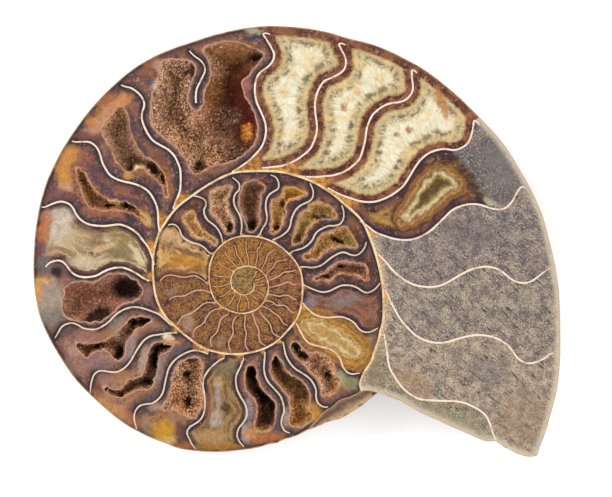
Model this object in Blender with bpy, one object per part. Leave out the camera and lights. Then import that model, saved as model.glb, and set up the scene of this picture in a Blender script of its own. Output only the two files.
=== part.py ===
"""Half of an ammonite fossil, sawn through its coil and polished.

The half lies on its rounded back with the polished face up and level. X and Y follow the
photograph, right and up, and Z is the way the polished face looks. Units are metres.
"""

import math
import random

import bpy
import numpy as np
from mathutils.geometry import delaunay_2d_cdt

# Real sizes of the coil
PIXEL = 0.0002  # one pixel of the photograph, in metres of fossil
RADIUS_AT_RIGHT = 0.063  # from the middle of the coil to its edge, straight to the right
TIGHTENING = 0.1312  # how fast the coil closes in, per radian
THICKNESS = 0.0135  # from the polished face down to what it rests on
MIDDLE_PX = (245.0, 283.0)  # middle of the coil in the photograph
BOX_MIDDLE_PX = (298.0, 241.6)  # middle of the whole half in the photograph

# The back, given as shares of the coil's radius at the same angle
APERTURE_ANGLE = -39.6  # degrees, where the broken mouth of the shell meets the coil
APERTURE_LEAN = 9.0  # degrees by which the break runs ahead at its outer end
SEAM_SHARE = 0.27  # where a whorl meets the one inside it
SHOULDER_SHARE = 0.38  # where the flank turns down into the hollow middle
CREST_SHARE = 0.55  # where the flank starts to fall away to the edge
EDGE_CURVE = (1.9, 0.62)  # how it falls: powers of a rounded edge
BROKEN_CURVE = (14.0, 0.40)  # the same where the shell beyond the last whorl broke off upright
BROKEN_FROM = (274.0, 312.0)  # degrees over which the rounded edge becomes the broken one
FLANK_CROWN = 0.02  # how much lower the outer end of the flat flank is than its middle
SHOULDER_CURVE = 0.8  # power of the rise from the seam to the shoulder
EVEN_UNTIL = 230.0  # degrees round which the flank keeps its full thickness
RING_SHARES = (1.0, 0.985, 0.95, 0.90, 0.82, 0.72, 0.616, 0.52)
RINGS = 22
COLUMNS = 56
TURN_RATIO = math.exp(-2 * math.pi * TIGHTENING)
FLANK_MIDDLE = TURN_RATIO  # the share that the half rests on

# How far the worn edge departs from the true coil: angle in degrees, share of the radius
EDGE_WEAR = (
    (-40, 1.006), (-20, 1.002), (-10, 0.996), (10, 0.998), (20, 0.994), (38, 0.985),
    (55, 0.992), (68, 0.979), (80, 0.989), (100, 0.985), (112, 0.998), (150, 0.996),
    (178, 1.003), (189, 1.017), (202, 1.003), (216, 0.988), (232, 0.993), (248, 0.999),
    (262, 0.986), (287, 0.975), (298, 1.012), (305, 1.063), (313, 1.103), (321, 1.141),
)

SHARP_ANGLE = math.radians(40)

# Crystals and gaps
CRUST_GAP = 0.00038
CRUST_THICKNESS = 0.0005
RIM_DROP = 0.0001  # how far a crust's rim lies under the polished face
RIM_DEPTH = 0.0005  # how deep the crust reaches along its rim
CRYSTAL_HEIGHTS = (0.0003, 0.0009)
FLOOR_LEFT = 0.0013  # stone left under the deepest hollow
SMALLEST_SHARE = 0.3  # of its area, which a triangle along a crust's rim keeps
MOVE_ROUNDS = 8
CUTTER_RISE = 0.001
CUTTER_LIP = 0.0008  # upright wall of a hollow, before it slopes down

# The open hollows, in order round the coil from the largest: depth and crystal size in metres,
# then the outline on the polished face in pixels of the photograph
HOLLOWS = (
    (0.0082, 0.0021, (
        (162, 62), (176, 60), (189, 61), (195, 68), (192, 79), (188, 92), (188, 104), (196, 112),
        (204, 104), (206, 90), (211, 78), (210, 62), (204, 49), (216, 44), (232, 42), (250, 47),
        (263, 54), (258, 63), (249, 74), (241, 82), (245, 96), (253, 112), (257, 130), (253, 144),
        (240, 157), (222, 163), (206, 168), (195, 174), (187, 160), (174, 144), (158, 132),
        (151, 118), (152, 98), (157, 84),
    )),
    (0.0046, 0.0014, (
        (113, 113), (120, 106), (127, 114), (131, 134), (141, 153), (156, 164), (165, 178),
        (167, 197), (162, 186), (150, 174), (140, 167), (128, 171), (117, 162), (111, 147),
        (103, 136), (104, 124),
    )),
    (0.0036, 0.0013, (
        (76, 168), (84, 173), (90, 184), (99, 194), (112, 200), (128, 203), (140, 212),
        (149, 223), (134, 214), (118, 210), (100, 210), (88, 205), (82, 192),
    )),
    (0.0052, 0.0016, (
        (67, 286), (80, 282), (94, 283), (108, 275), (124, 275), (138, 283), (142, 293),
        (134, 301), (122, 303), (112, 313), (99, 321), (82, 321), (67, 317), (62, 306), (65, 294),
    )),
    (0.0044, 0.0014, (
        (75, 343), (90, 344), (106, 340), (119, 331), (131, 319), (146, 317), (151, 321),
        (137, 329), (127, 341), (124, 355), (116, 360), (108, 351), (96, 351), (86, 357),
    )),
    (0.0048, 0.0014, (
        (150, 348), (158, 343), (172, 345), (169, 350), (159, 356), (157, 371), (150, 387),
        (135, 390), (121, 397), (106, 391), (104, 386), (119, 390), (129, 380), (142, 376),
        (147, 361),
    )),
    (0.0034, 0.0016, (
        (180, 363), (190, 358), (200, 360), (202, 370), (200, 382), (203, 396), (200, 410),
        (191, 418), (178, 411), (163, 408), (168, 399), (172, 386), (174, 373),
    )),
    (0.0046, 0.0014, (
        (248, 366), (255, 367), (257, 378), (263, 391), (273, 400), (275, 412), (272, 428),
        (262, 432), (255, 426), (258, 412), (255, 400), (246, 387),
    )),
    (0.0038, 0.0014, (
        (274, 356), (281, 362), (287, 373), (301, 381), (309, 393), (308, 408), (312, 416),
        (303, 426), (290, 424), (291, 411), (289, 396), (279, 385), (271, 371),
    )),
    (0.0042, 0.0014, (
        (292, 342), (299, 345), (307, 353), (320, 353), (331, 361), (336, 373), (340, 382),
        (332, 394), (323, 395), (319, 382), (309, 369), (298, 358), (292, 350),
    )),
    (0.0020, 0.0011, (
        (182, 218), (192, 210), (196, 219), (203, 230), (214, 238), (215, 244), (205, 239),
        (193, 236), (188, 226),
    )),
    (0.0030, 0.0011, (
        (211, 194), (220, 188), (231, 186), (228, 195), (227, 207), (233, 219), (233, 232),
        (227, 233), (219, 221), (212, 213),
    )),
    (0.0048, 0.0012, (
        (245, 184), (255, 181), (264, 187), (260, 197), (259, 212), (258, 225), (250, 231),
        (245, 219), (239, 204), (241, 194),
    )),
    (0.0030, 0.0011, (
        (285, 188), (296, 188), (306, 194), (298, 198), (286, 203), (284, 217), (279, 230),
        (271, 232), (272, 217), (271, 203), (282, 196),
    )),
    (0.0034, 0.0011, (
        (316, 202), (326, 204), (335, 213), (334, 219), (320, 219), (309, 228), (304, 239),
        (293, 244), (295, 232), (299, 217), (307, 209),
    )),
    (0.0026, 0.0011, (
        (346, 227), (352, 236), (357, 247), (345, 246), (329, 249), (318, 258), (303, 258),
        (313, 249), (320, 237), (332, 231),
    )),
    (0.0030, 0.0011, (
        (313, 279), (324, 273), (337, 263), (352, 263), (365, 266), (368, 280), (356, 276),
        (341, 273), (328, 280),
    )),
)

# The chip off the polished face at the lower right: its edge, and points beyond the stone
CHIP_PX = (
    (296, 443), (308, 431), (325, 413), (340, 402), (354, 396), (370, 390),
    (380, 406), (330, 450),
)
CHIP_SINK = 0.0006  # depth of the chip along its edge
CHIP_FALL = 0.0042  # depth that it reaches at the outline


def coil_radius(angle):
    """The true coil's radius at an angle in degrees that grows inwards along the coil."""
    return RADIUS_AT_RIGHT * math.exp(-TIGHTENING * math.radians(angle))


def from_photo(points):
    """Points in pixels of the photograph as places on the polished face."""
    pixels = np.array(points, float)
    return (pixels - BOX_MIDDLE_PX) * (PIXEL, -PIXEL)


def crowned(depth, share):
    """Depth of the nearly flat flank at a share of the radius."""
    off = (share - FLANK_MIDDLE) / (CREST_SHARE - FLANK_MIDDLE)
    return depth * (1 - FLANK_CROWN * off * off)


def flank_depth(share, angle):
    """How far the back lies under the polished face, at a share of the coil's radius."""
    if share < SEAM_SHARE - 1e-6:
        return flank_depth(share / TURN_RATIO, angle + 360)
    depth = THICKNESS * math.exp(-TIGHTENING * math.radians(max(0.0, angle - EVEN_UNTIL)))
    if share > CREST_SHARE:
        out = (share - CREST_SHARE) / (1 - CREST_SHARE)
        broken = float(np.interp(angle, BROKEN_FROM, (0.0, 1.0)))
        inner_power, outer_power = (
            a + (b - a) * broken for a, b in zip(EDGE_CURVE, BROKEN_CURVE)
        )
        return crowned(depth, CREST_SHARE) * max(0.0, 1 - out ** inner_power) ** outer_power
    if share > SHOULDER_SHARE:
        return crowned(depth, share)
    inner = flank_depth(SEAM_SHARE / TURN_RATIO, angle + 360)
    rise = math.sin((share - SEAM_SHARE) / (SHOULDER_SHARE - SEAM_SHARE) * math.pi / 2)
    return inner + (crowned(depth, SHOULDER_SHARE) - inner) * rise ** SHOULDER_CURVE


def back_point(column, ring):
    """A point of the back, on the ring's share of the radius in that column."""
    share = RING_SHARES[ring % len(RING_SHARES)] * TURN_RATIO ** (ring // len(RING_SHARES))
    lean = APERTURE_LEAN * max(0.0, (share - 0.5) / 0.5) * max(0.0, 1 - column / 6)
    angle = APERTURE_ANGLE + 360 * column / COLUMNS + lean
    angles, shares = zip(*EDGE_WEAR)
    wear = (float(np.interp(angle, angles, shares)) - 1) * max(0.0, (share - 0.62) / 0.38)
    radius = coil_radius(angle) * share * (1 + wear)
    middle_x, middle_y = from_photo([MIDDLE_PX])[0]
    turn = math.radians(angle)
    return (
        middle_x + radius * math.cos(turn),
        middle_y + radius * math.sin(turn),
        THICKNESS - flank_depth(share, angle),
    )


def make_object(name, points, faces, collection, material=None):
    mesh = bpy.data.meshes.new(name)
    mesh.from_pydata([tuple(map(float, p)) for p in points], [], faces)
    mesh.validate()
    made = bpy.data.objects.new(name, mesh)
    collection.objects.link(made)
    if material:
        mesh.materials.append(material)
    return made


def make_material(name, colour, roughness):
    material = bpy.data.materials.new(name)
    material.use_nodes = True
    shader = material.node_tree.nodes["Principled BSDF"]
    shader.inputs["Base Color"].default_value = (*colour, 1.0)
    shader.inputs["Roughness"].default_value = roughness
    shader.inputs["Metallic"].default_value = 0.0
    return material


def coiled_stone(collection, material):
    """The stone half: a flat face, a back lofted along the coil, and the broken mouth."""
    points, places = [], {}
    per_turn = len(RING_SHARES)
    seam_ring = RING_SHARES.index(0.616)

    def place(column, ring):
        """The first column's inner rings are the last column's, one turn further in."""
        if column == 0 and ring >= per_turn + seam_ring:
            column, ring = COLUMNS, ring - per_turn
        if (column, ring) not in places:
            places[column, ring] = len(points)
            points.append(back_point(column, ring))
        return places[column, ring]

    faces = []
    for column in range(COLUMNS):
        for ring in range(RINGS):
            corners = [
                place(column, ring), place(column, ring + 1),
                place(column + 1, ring + 1), place(column + 1, ring),
            ]
            faces.append(corners)

    # The broken mouth is an upright wall, which runs on inwards as the step onto the last whorl
    mouth_top = [place(0, 0)]
    for ring in range(1, per_turn):
        x, y, _ = points[place(0, ring)]
        mouth_top.append(len(points))
        points.append((x, y, THICKNESS))
    faces.append([mouth_top[0], mouth_top[1], place(0, 1)])
    for ring in range(1, per_turn - 1):
        faces.append([mouth_top[ring], mouth_top[ring + 1], place(0, ring + 1), place(0, ring)])
    faces.append([mouth_top[-1], place(COLUMNS, 0), place(0, per_turn), place(0, per_turn - 1)])
    for ring in range(seam_ring):
        step = [
            place(COLUMNS, ring), place(COLUMNS, ring + 1),
            place(0, per_turn + ring + 1), place(0, per_turn + ring),
        ]
        faces.append(list(dict.fromkeys(step)))

    # The innermost ring closes on a point under the middle of the coil
    loop = [place(column, RINGS) for column in range(COLUMNS)]
    loop += [place(COLUMNS, ring) for ring in range(RINGS, RINGS - per_turn, -1)]
    middle = len(points)
    middle_x, middle_y = from_photo([MIDDLE_PX])[0]
    points.append((middle_x, middle_y, THICKNESS - flank_depth(0.616, 1080)))
    for first, second in zip(loop, loop[1:] + loop[:1]):
        if first != second:
            faces.append([first, middle, second])

    edge = [place(column, 0) for column in range(COLUMNS + 1)]
    faces.append(edge + mouth_top[:0:-1])
    return make_object("ammonite_half", points, faces, collection, material)


def smooth_outline(corners, step):
    """A closed smooth curve through the corners, with a point about every step."""
    points = []
    count = len(corners)
    for i in range(count):
        before, start, end, after = (corners[(i + k) % count] for k in (-1, 0, 1, 2))
        pieces = max(1, round(float(np.linalg.norm(end - start)) / step))
        for piece in range(pieces):
            t = piece / pieces
            points.append(0.5 * (
                2 * start + (end - before) * t
                + (2 * before - 5 * start + 4 * end - after) * t ** 2
                + (3 * start - before - 3 * end + after) * t ** 3
            ))
    return np.array(points)


def distance_inside(places, outline):
    """Distance from each place to the outline, below zero for a place outside it."""
    start, end = outline, np.roll(outline, -1, axis=0)
    along = end - start
    rel = places[:, None, :] - start[None]
    share = np.clip((rel * along).sum(2) / (along ** 2).sum(1), 0, 1)
    gap = np.linalg.norm(rel - share[..., None] * along, axis=2).min(1)
    above = (start[:, 1] > places[:, 1:2]) != (end[:, 1] > places[:, 1:2])
    height = np.where(np.abs(along[:, 1]) > 1e-12, along[:, 1], 1e-12)
    cross = start[:, 0] + (places[:, 1:2] - start[:, 1]) * along[:, 0] / height
    inside = (above & (places[:, 0:1] < cross)).sum(1) % 2 == 1
    return np.where(inside, gap, -gap)


def inward(outline, distance):
    """The outline with each point moved inwards."""
    tangent = np.roll(outline, -1, axis=0) - np.roll(outline, 1, axis=0)
    tangent /= np.linalg.norm(tangent, axis=1)[:, None]
    normal = np.column_stack([-tangent[:, 1], tangent[:, 0]])
    moved = outline + normal * distance
    if distance_inside(moved, outline).mean() < 0:
        moved = outline - normal * distance
    return moved


def hollow_plan(corners, step):
    """Outline, inner points and triangles of one hollow, seen from above."""
    outline = smooth_outline(from_photo(corners), step)
    low, high = outline.min(0), outline.max(0)
    rows = []
    for row, y in enumerate(np.arange(low[1], high[1], step * 0.87)):
        shift = 0.5 * step * (row % 2)
        rows += [(x, y) for x in np.arange(low[0] + shift, high[0], step)]
    grid = np.array(rows)
    grid = grid[distance_inside(grid, outline) > 0.42 * step]
    everything = np.vstack([outline, grid])
    found = delaunay_2d_cdt([tuple(p) for p in everything], [], [list(range(len(outline)))], 1, 1e-9)
    places = np.array([tuple(p) for p in found[0]])
    triangles = []
    for a, b, c in found[2]:
        turn = np.cross(places[b] - places[a], places[c] - places[a])
        triangles.append((a, b, c) if turn > 0 else (a, c, b))
    return outline, places, triangles


def stone_under(places):
    """How thick the stone is under each place on the polished face."""
    away = places - from_photo([MIDDLE_PX])[0]
    angles, wears = zip(*EDGE_WEAR)
    found = []
    for x, y in away:
        angle = (math.degrees(math.atan2(y, x)) - APERTURE_ANGLE) % 360 + APERTURE_ANGLE
        share = math.hypot(x, y) / coil_radius(angle)
        wear = (float(np.interp(angle, angles, wears)) - 1) * max(0.0, (share - 0.62) / 0.38)
        found.append(flank_depth(min(1.0, share / (1 + wear)), angle))
    return np.array(found)


def bowl_depth(places, inside, depth):
    """Depth and slope of a hollow at each place, which keeps some stone under it."""
    run = 0.8 * inside.max()
    turn = np.clip(inside / run, 0, 1) * math.pi / 2
    deepest = stone_under(places) - CUTTER_LIP - FLOOR_LEFT
    down = np.minimum(depth * np.sin(turn), np.maximum(deepest, 0))
    return down, depth * math.pi / 2 / run * np.cos(turn)


def rim_moved_in(plan, rim):
    """The places of a plan with the rim's points moved in from the wall of the hollow."""
    outline, places, triangles = plan
    shift = np.zeros_like(places)
    inner = inward(outline, CRUST_GAP)
    for i in np.flatnonzero(rim):
        nearest = np.argmin(np.linalg.norm(outline - places[i], axis=1))
        shift[i] = inner[nearest] - places[i]
    corners = np.array(triangles)

    def areas(points):
        first, second, third = (points[corners[:, k]] for k in range(3))
        return np.cross(second - first, third - first)

    # In a narrow corner the points move less, so that no triangle turns over
    least = SMALLEST_SHARE * areas(places)
    for _ in range(MOVE_ROUNDS):
        squeezed = areas(places + shift) < least
        if not squeezed.any():
            break
        shift[np.unique(corners[squeezed])] *= 0.6
    return places + shift


def rim_loop(triangles):
    """The edges that only one triangle uses, each in that triangle's direction."""
    used = set()
    for a, b, c in triangles:
        used |= {(a, b), (b, c), (c, a)}
    return [(a, b) for a, b in used if (b, a) not in used]


def hollow_cutter(name, plan, depth, collection):
    """A closed solid of the hollow, from its bowl up to just over the polished face."""
    outline, places, triangles = plan
    inside = np.clip(distance_inside(places, outline), 0, None)
    down, _ = bowl_depth(places, inside, depth)
    count = len(places)
    low = np.column_stack([places, THICKNESS - CUTTER_LIP - down])
    high = np.column_stack([places, np.full(count, THICKNESS + CUTTER_RISE)])
    faces = [(c, b, a) for a, b, c in triangles]
    faces += [(a + count, b + count, c + count) for a, b, c in triangles]
    faces += [(a, b, b + count, a + count) for a, b in rim_loop(triangles)]
    cutter = make_object(name, np.vstack([low, high]), faces, collection)
    cutter.hide_render = True
    cutter.display_type = "WIRE"
    return cutter


def crystal_crust(name, plan, depth, collection, material, chance):
    """The crystals that line a hollow: a shell on its bowl with a pointed crystal on each facet."""
    outline, places, triangles = plan
    inside = np.clip(distance_inside(places, outline), 0, None)
    down, slope = bowl_depth(places, inside, depth)
    steep = np.sqrt(1 + slope ** 2)
    rim = inside < 1e-7
    under = np.where(rim, RIM_DEPTH, np.maximum(CUTTER_LIP + down - CRUST_GAP * steep, RIM_DEPTH))
    over = np.where(rim, RIM_DROP, np.maximum(under - CRUST_THICKNESS * steep, RIM_DROP))
    plan_places = rim_moved_in(plan, rim)
    count = len(places)
    low = np.column_stack([plan_places, THICKNESS - under])
    high = np.column_stack([plan_places, THICKNESS - over])
    points = [tuple(p) for p in low] + [tuple(p) for p in high]
    faces = [(c, b, a) for a, b, c in triangles]
    faces += [(a, b, b + count, a + count) for a, b in rim_loop(triangles)]
    for a, b, c in triangles:
        weights = np.array([0.6 + chance.random() for _ in range(3)])
        tip = (high[[a, b, c]] * (weights / weights.sum())[:, None]).sum(0)
        tip[2] += chance.uniform(*CRYSTAL_HEIGHTS)
        a, b, c = a + count, b + count, c + count
        if tip[2] > THICKNESS - 3 * RIM_DROP:
            faces.append((a, b, c))
            continue
        points.append(tuple(tip))
        apex = len(points) - 1
        faces += [(a, b, apex), (b, c, apex), (c, a, apex)]
    return make_object(name, points, faces, collection, material)


def chip_cutter(collection):
    """A wedge that takes the top off the stone beyond the chip's edge and falls outwards."""
    corners = from_photo(CHIP_PX)
    edge, beyond = corners[:-2], corners[-2:]
    away = beyond.mean(0)
    span = np.linalg.norm(edge[len(edge) // 2] - away)
    points, count = [], len(corners)
    for corner in corners:
        fall = 1 - np.linalg.norm(corner - away) / span
        sink = CHIP_SINK + CHIP_FALL * float(np.clip(fall, 0, 1))
        points.append((*corner, THICKNESS - sink))
    points += [(*corner, THICKNESS + CUTTER_RISE) for corner in corners]
    around = list(range(count))
    faces = [around, [i + count for i in reversed(around)]]
    faces += [[i, i + count, (i + 1) % count + count, (i + 1) % count] for i in around]
    cutter = make_object("chip_cutter", points, faces, collection)
    cutter.hide_render = True
    cutter.display_type = "WIRE"
    return cutter


def face_outwards(made):
    """Turns the faces of a closed mesh outwards."""
    for other in bpy.context.view_layer.objects:
        other.select_set(False)
    bpy.context.view_layer.objects.active = made
    made.select_set(True)
    bpy.ops.object.mode_set(mode="EDIT")
    bpy.ops.mesh.select_all(action="SELECT")
    bpy.ops.mesh.normals_make_consistent(inside=False)
    bpy.ops.object.mode_set(mode="OBJECT")


def cut(stone, cutter):
    """Takes the cutter's shape out of the stone."""
    modifier = stone.modifiers.new(cutter.name, "BOOLEAN")
    modifier.operation = "DIFFERENCE"
    modifier.solver = "EXACT"
    modifier.object = cutter


def join(objects, name):
    """One object of the given ones."""
    for other in bpy.context.view_layer.objects:
        other.select_set(other in objects)
    bpy.context.view_layer.objects.active = objects[0]
    bpy.ops.object.join()
    objects[0].name = name
    return objects[0]


for old in list(bpy.data.objects):
    bpy.data.objects.remove(old, do_unlink=True)
parts = bpy.data.collections.new("ammonite_fossil")
cutters = bpy.data.collections.new("cutters")
bpy.context.scene.collection.children.link(parts)
bpy.context.scene.collection.children.link(cutters)

stone_material = make_material("polished_stone", (0.30, 0.19, 0.13), 0.25)
crystal_material = make_material("brown_crystals", (0.20, 0.10, 0.05), 0.35)

stone = coiled_stone(parts, stone_material)
face_outwards(stone)
stone.data.shade_smooth()
stone.data.set_sharp_from_angle(angle=SHARP_ANGLE)

chance = random.Random(7)
hollow_cutters = []
for index, (depth, step, corners) in enumerate(HOLLOWS, start=1):
    plan = hollow_plan(corners, step)
    hollow_cutters.append(hollow_cutter(f"hollow_{index:02d}", plan, depth, cutters))
    crust = crystal_crust(f"crystal_crust_{index:02d}", plan, depth, parts, crystal_material, chance)
    face_outwards(crust)
hollows = join(hollow_cutters, "hollow_cutter")
face_outwards(hollows)
chip = chip_cutter(cutters)
face_outwards(chip)
cut(stone, chip)
cut(stone, hollows)
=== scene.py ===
"""Half of an ammonite fossil, sawn through its coil and polished, lying on its rounded back.

X and Y follow the photograph, right and up, and Z is the way the polished face looks. Units are
metres, and places on the face are given in pixels of the photograph.
"""

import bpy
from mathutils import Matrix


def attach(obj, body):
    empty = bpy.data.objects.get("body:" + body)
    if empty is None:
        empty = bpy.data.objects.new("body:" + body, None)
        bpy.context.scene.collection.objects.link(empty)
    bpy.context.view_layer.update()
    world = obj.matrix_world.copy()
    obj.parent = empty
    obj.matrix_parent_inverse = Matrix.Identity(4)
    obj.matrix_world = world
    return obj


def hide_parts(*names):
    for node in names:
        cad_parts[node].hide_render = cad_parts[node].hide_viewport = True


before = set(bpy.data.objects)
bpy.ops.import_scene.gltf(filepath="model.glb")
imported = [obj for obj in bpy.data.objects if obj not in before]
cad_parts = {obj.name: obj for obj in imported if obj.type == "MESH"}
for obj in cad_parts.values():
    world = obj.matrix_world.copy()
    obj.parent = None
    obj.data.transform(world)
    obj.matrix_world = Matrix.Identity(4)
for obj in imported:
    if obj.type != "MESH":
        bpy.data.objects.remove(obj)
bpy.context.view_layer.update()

import math
import random

import bpy
import numpy as np
from mathutils import Vector
from mathutils import noise as ground

# THE CAMERA
# It looks straight down on the polished face, as the photograph does. A long lens at arm's
# length makes one pixel of the photograph 0.2 mm of the fossil.
PIXEL = 0.0002
BOX_MIDDLE_PX = (298.0, 241.6)
FRAME_MIDDLE_PX = (306.0, 248.5)
FACE = 0.0135
CAMERA_AWAY = 0.34


def on_face(points):
    """Pixels of the photograph as places on the polished face."""
    return (np.array(points, float) - BOX_MIDDLE_PX) * (PIXEL, -PIXEL)


camera = bpy.data.objects.new("camera", bpy.data.cameras.new("camera"))
bpy.context.scene.collection.objects.link(camera)
camera.data.lens = 100
camera.data.sensor_width = 36
camera.data.clip_start = 0.01
camera.location = (*on_face([FRAME_MIDDLE_PX])[0], FACE + CAMERA_AWAY)
bpy.context.scene.camera = camera

# THE SHELL WALL
# The tube of the shell, cut through. Its wall runs in from the broken mouth, round the rim and
# then as one spiral to the middle. It is flush with the polished face, and is tan calcite.
MOUTH_TAIL_PX = ((496, 441), (508, 449), (520, 455), (530, 457), (537.5, 455.6))
RIM_PX = (
    (537.5, 455.6), (539.5, 448.5), (545, 434), (550.6, 415), (554, 402.5), (557.8, 385),
    (559.8, 365), (560.4, 345), (560.2, 318), (558.8, 290), (555.6, 268), (551.8, 250),
    (547.8, 235), (543.2, 217.5), (536.5, 201), (530, 187.5), (520, 170), (509.6, 152.8),
    (500, 139.4), (490.5, 128.7), (480.8, 118.5), (470.8, 108.5), (460.6, 98.5), (450, 89.2),
    (439.8, 80.9), (429.8, 73.3), (419.8, 66.7), (410.2, 61.4), (390, 51.2), (370.2, 43.6),
    (350, 38.6), (340, 35.8), (330, 32.6), (310, 28.6), (290, 26.6), (270, 25.8), (250, 27.4),
    (240, 28.9), (230, 30.9), (220, 33.3), (210, 36), (200, 39.3), (180, 45.9), (170, 49.5),
    (159.7, 53.7), (149.3, 59), (139, 65), (129, 72), (118.6, 80.6), (108.9, 89.6), (99, 99.6),
    (89, 111), (79, 124.2), (69, 138.6), (59.4, 154.6), (48.8, 176.5), (45, 186.7), (41, 200.3),
    (38.2, 213), (35.3, 232), (33.9, 250), (33.4, 265), (33.6, 276), (35, 293), (40, 317),
    (49.6, 339), (60, 357), (69.8, 372), (79.6, 384.2), (89.2, 394), (99.4, 403.4), (109.5, 412.4),
    (119.6, 420.3), (129.7, 427.2), (139.7, 432.4), (149.7, 437.4), (159.6, 441.2), (170, 445.2),
    (180, 448.8), (200, 451.4), (220, 452), (240, 450.2), (250, 449), (260, 447), (270, 444),
    (278, 442.8), (282, 440), (290, 438),
)
CHIP_LINE_PX = (
    (290, 438), (297, 435.5), (304, 432), (311, 427.5), (318, 420), (325, 412), (333, 407),
    (340, 401), (352, 397), (362, 391),
)
SPIRAL_PX = (
    (362, 391), (360, 384), (364.4, 372), (371, 362), (374.4, 352), (378, 342), (380.5, 332),
    (383.3, 320), (383.8, 309), (383, 289), (379, 266), (372, 243), (362, 221), (345.6, 205),
    (327, 190), (306, 179), (281, 172), (256, 171), (233, 173), (213, 182), (193, 195),
    (176.5, 208), (165, 223), (158, 236), (153.3, 256), (153.3, 279), (156.6, 299), (165, 316),
    (176.5, 327.5), (190, 339), (206, 349), (229.6, 354), (253, 352), (273, 344), (289, 329),
    (299, 314), (302.5, 293), (301, 273), (292.6, 258), (277.6, 244.6), (262.7, 238),
    (246, 236), (229.6, 239.6), (216, 251), (209.7, 266), (209.7, 284), (214.6, 299),
    (226, 309), (243, 313.4), (259, 307.6), (267.7, 293), (267, 279), (259, 269.5), (248, 266),
    (236, 269.5), (231, 279), (233, 289), (243, 295), (253, 291), (254, 283),
)
FINE_STEP = 0.0004


def smooth_curve(corners, step, closed=False):
    """A smooth curve through the corners, with a point about every step."""
    count = len(corners)
    points = []
    for i in range(count if closed else count - 1):
        around = [(i + k) % count if closed else min(max(i + k, 0), count - 1) for k in (-1, 0, 1, 2)]
        before, start, end, after = corners[around]
        pieces = max(1, round(float(np.linalg.norm(end - start)) / step))
        for piece in range(pieces):
            t = piece / pieces
            points.append(0.5 * (
                2 * start + (end - before) * t
                + (2 * before - 5 * start + 4 * end - after) * t ** 2
                + (3 * start - before - 3 * end + after) * t ** 3
            ))
    if not closed:
        points.append(corners[-1])
    return np.array(points)


def evenly(curve, count):
    """The curve again, with count points at even distances."""
    steps = np.linalg.norm(np.diff(curve, axis=0), axis=1)
    reached = np.r_[0, np.cumsum(steps)]
    where = np.linspace(0, reached[-1], count)
    return np.column_stack([np.interp(where, reached, curve[:, k]) for k in (0, 1)])


def length_of(curve):
    return float(np.linalg.norm(np.diff(curve, axis=0), axis=1).sum())


def to_curve(places, curve):
    """Distance from each place to an open curve, the nearest point, and how far along it lies."""
    start, end = curve[:-1], curve[1:]
    run = end - start
    squares = np.maximum((run ** 2).sum(1), 1e-18)
    reached = np.r_[0, np.cumsum(np.sqrt(squares))]
    gaps, nearest, along = [], [], []
    for block in np.array_split(places, max(1, len(places) * len(run) // 2_000_000)):
        x, y = block[:, 0:1] - start[:, 0], block[:, 1:2] - start[:, 1]
        share = np.clip((x * run[:, 0] + y * run[:, 1]) / squares, 0, 1)
        gap = (x - share * run[:, 0]) ** 2 + (y - share * run[:, 1]) ** 2
        best = gap.argmin(1)
        row = np.arange(len(block))
        gaps.append(np.sqrt(gap[row, best]))
        nearest.append(start[best] + share[row, best, None] * run[best])
        along.append(reached[best] + share[row, best] * np.sqrt(squares[best]))
    return np.concatenate(gaps), np.concatenate(nearest), np.concatenate(along)


rim_curve = smooth_curve(on_face(RIM_PX), FINE_STEP)
chip_line = smooth_curve(on_face(CHIP_LINE_PX), FINE_STEP)
spiral_curve = smooth_curve(on_face(SPIRAL_PX), FINE_STEP)
mouth_tail = smooth_curve(on_face(MOUTH_TAIL_PX), FINE_STEP)
wall = np.vstack([mouth_tail[:-1], rim_curve[:-1], chip_line[:-1], spiral_curve])

# What the lamps do to a colour: they lift it, and the polish adds a little white
LIGHT = 1.5
SHEEN = 0.022


def tone(red, green, blue):
    """A colour as it looks on screen under these lamps, without the sheen that they add to it."""
    found = []
    for part in (red / 255, green / 255, blue / 255):
        linear = part / 12.92 if part <= 0.04045 else ((part + 0.055) / 1.055) ** 2.4
        found.append(max(linear - SHEEN, 0.2 * linear) / LIGHT)
    return tuple(found)


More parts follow.
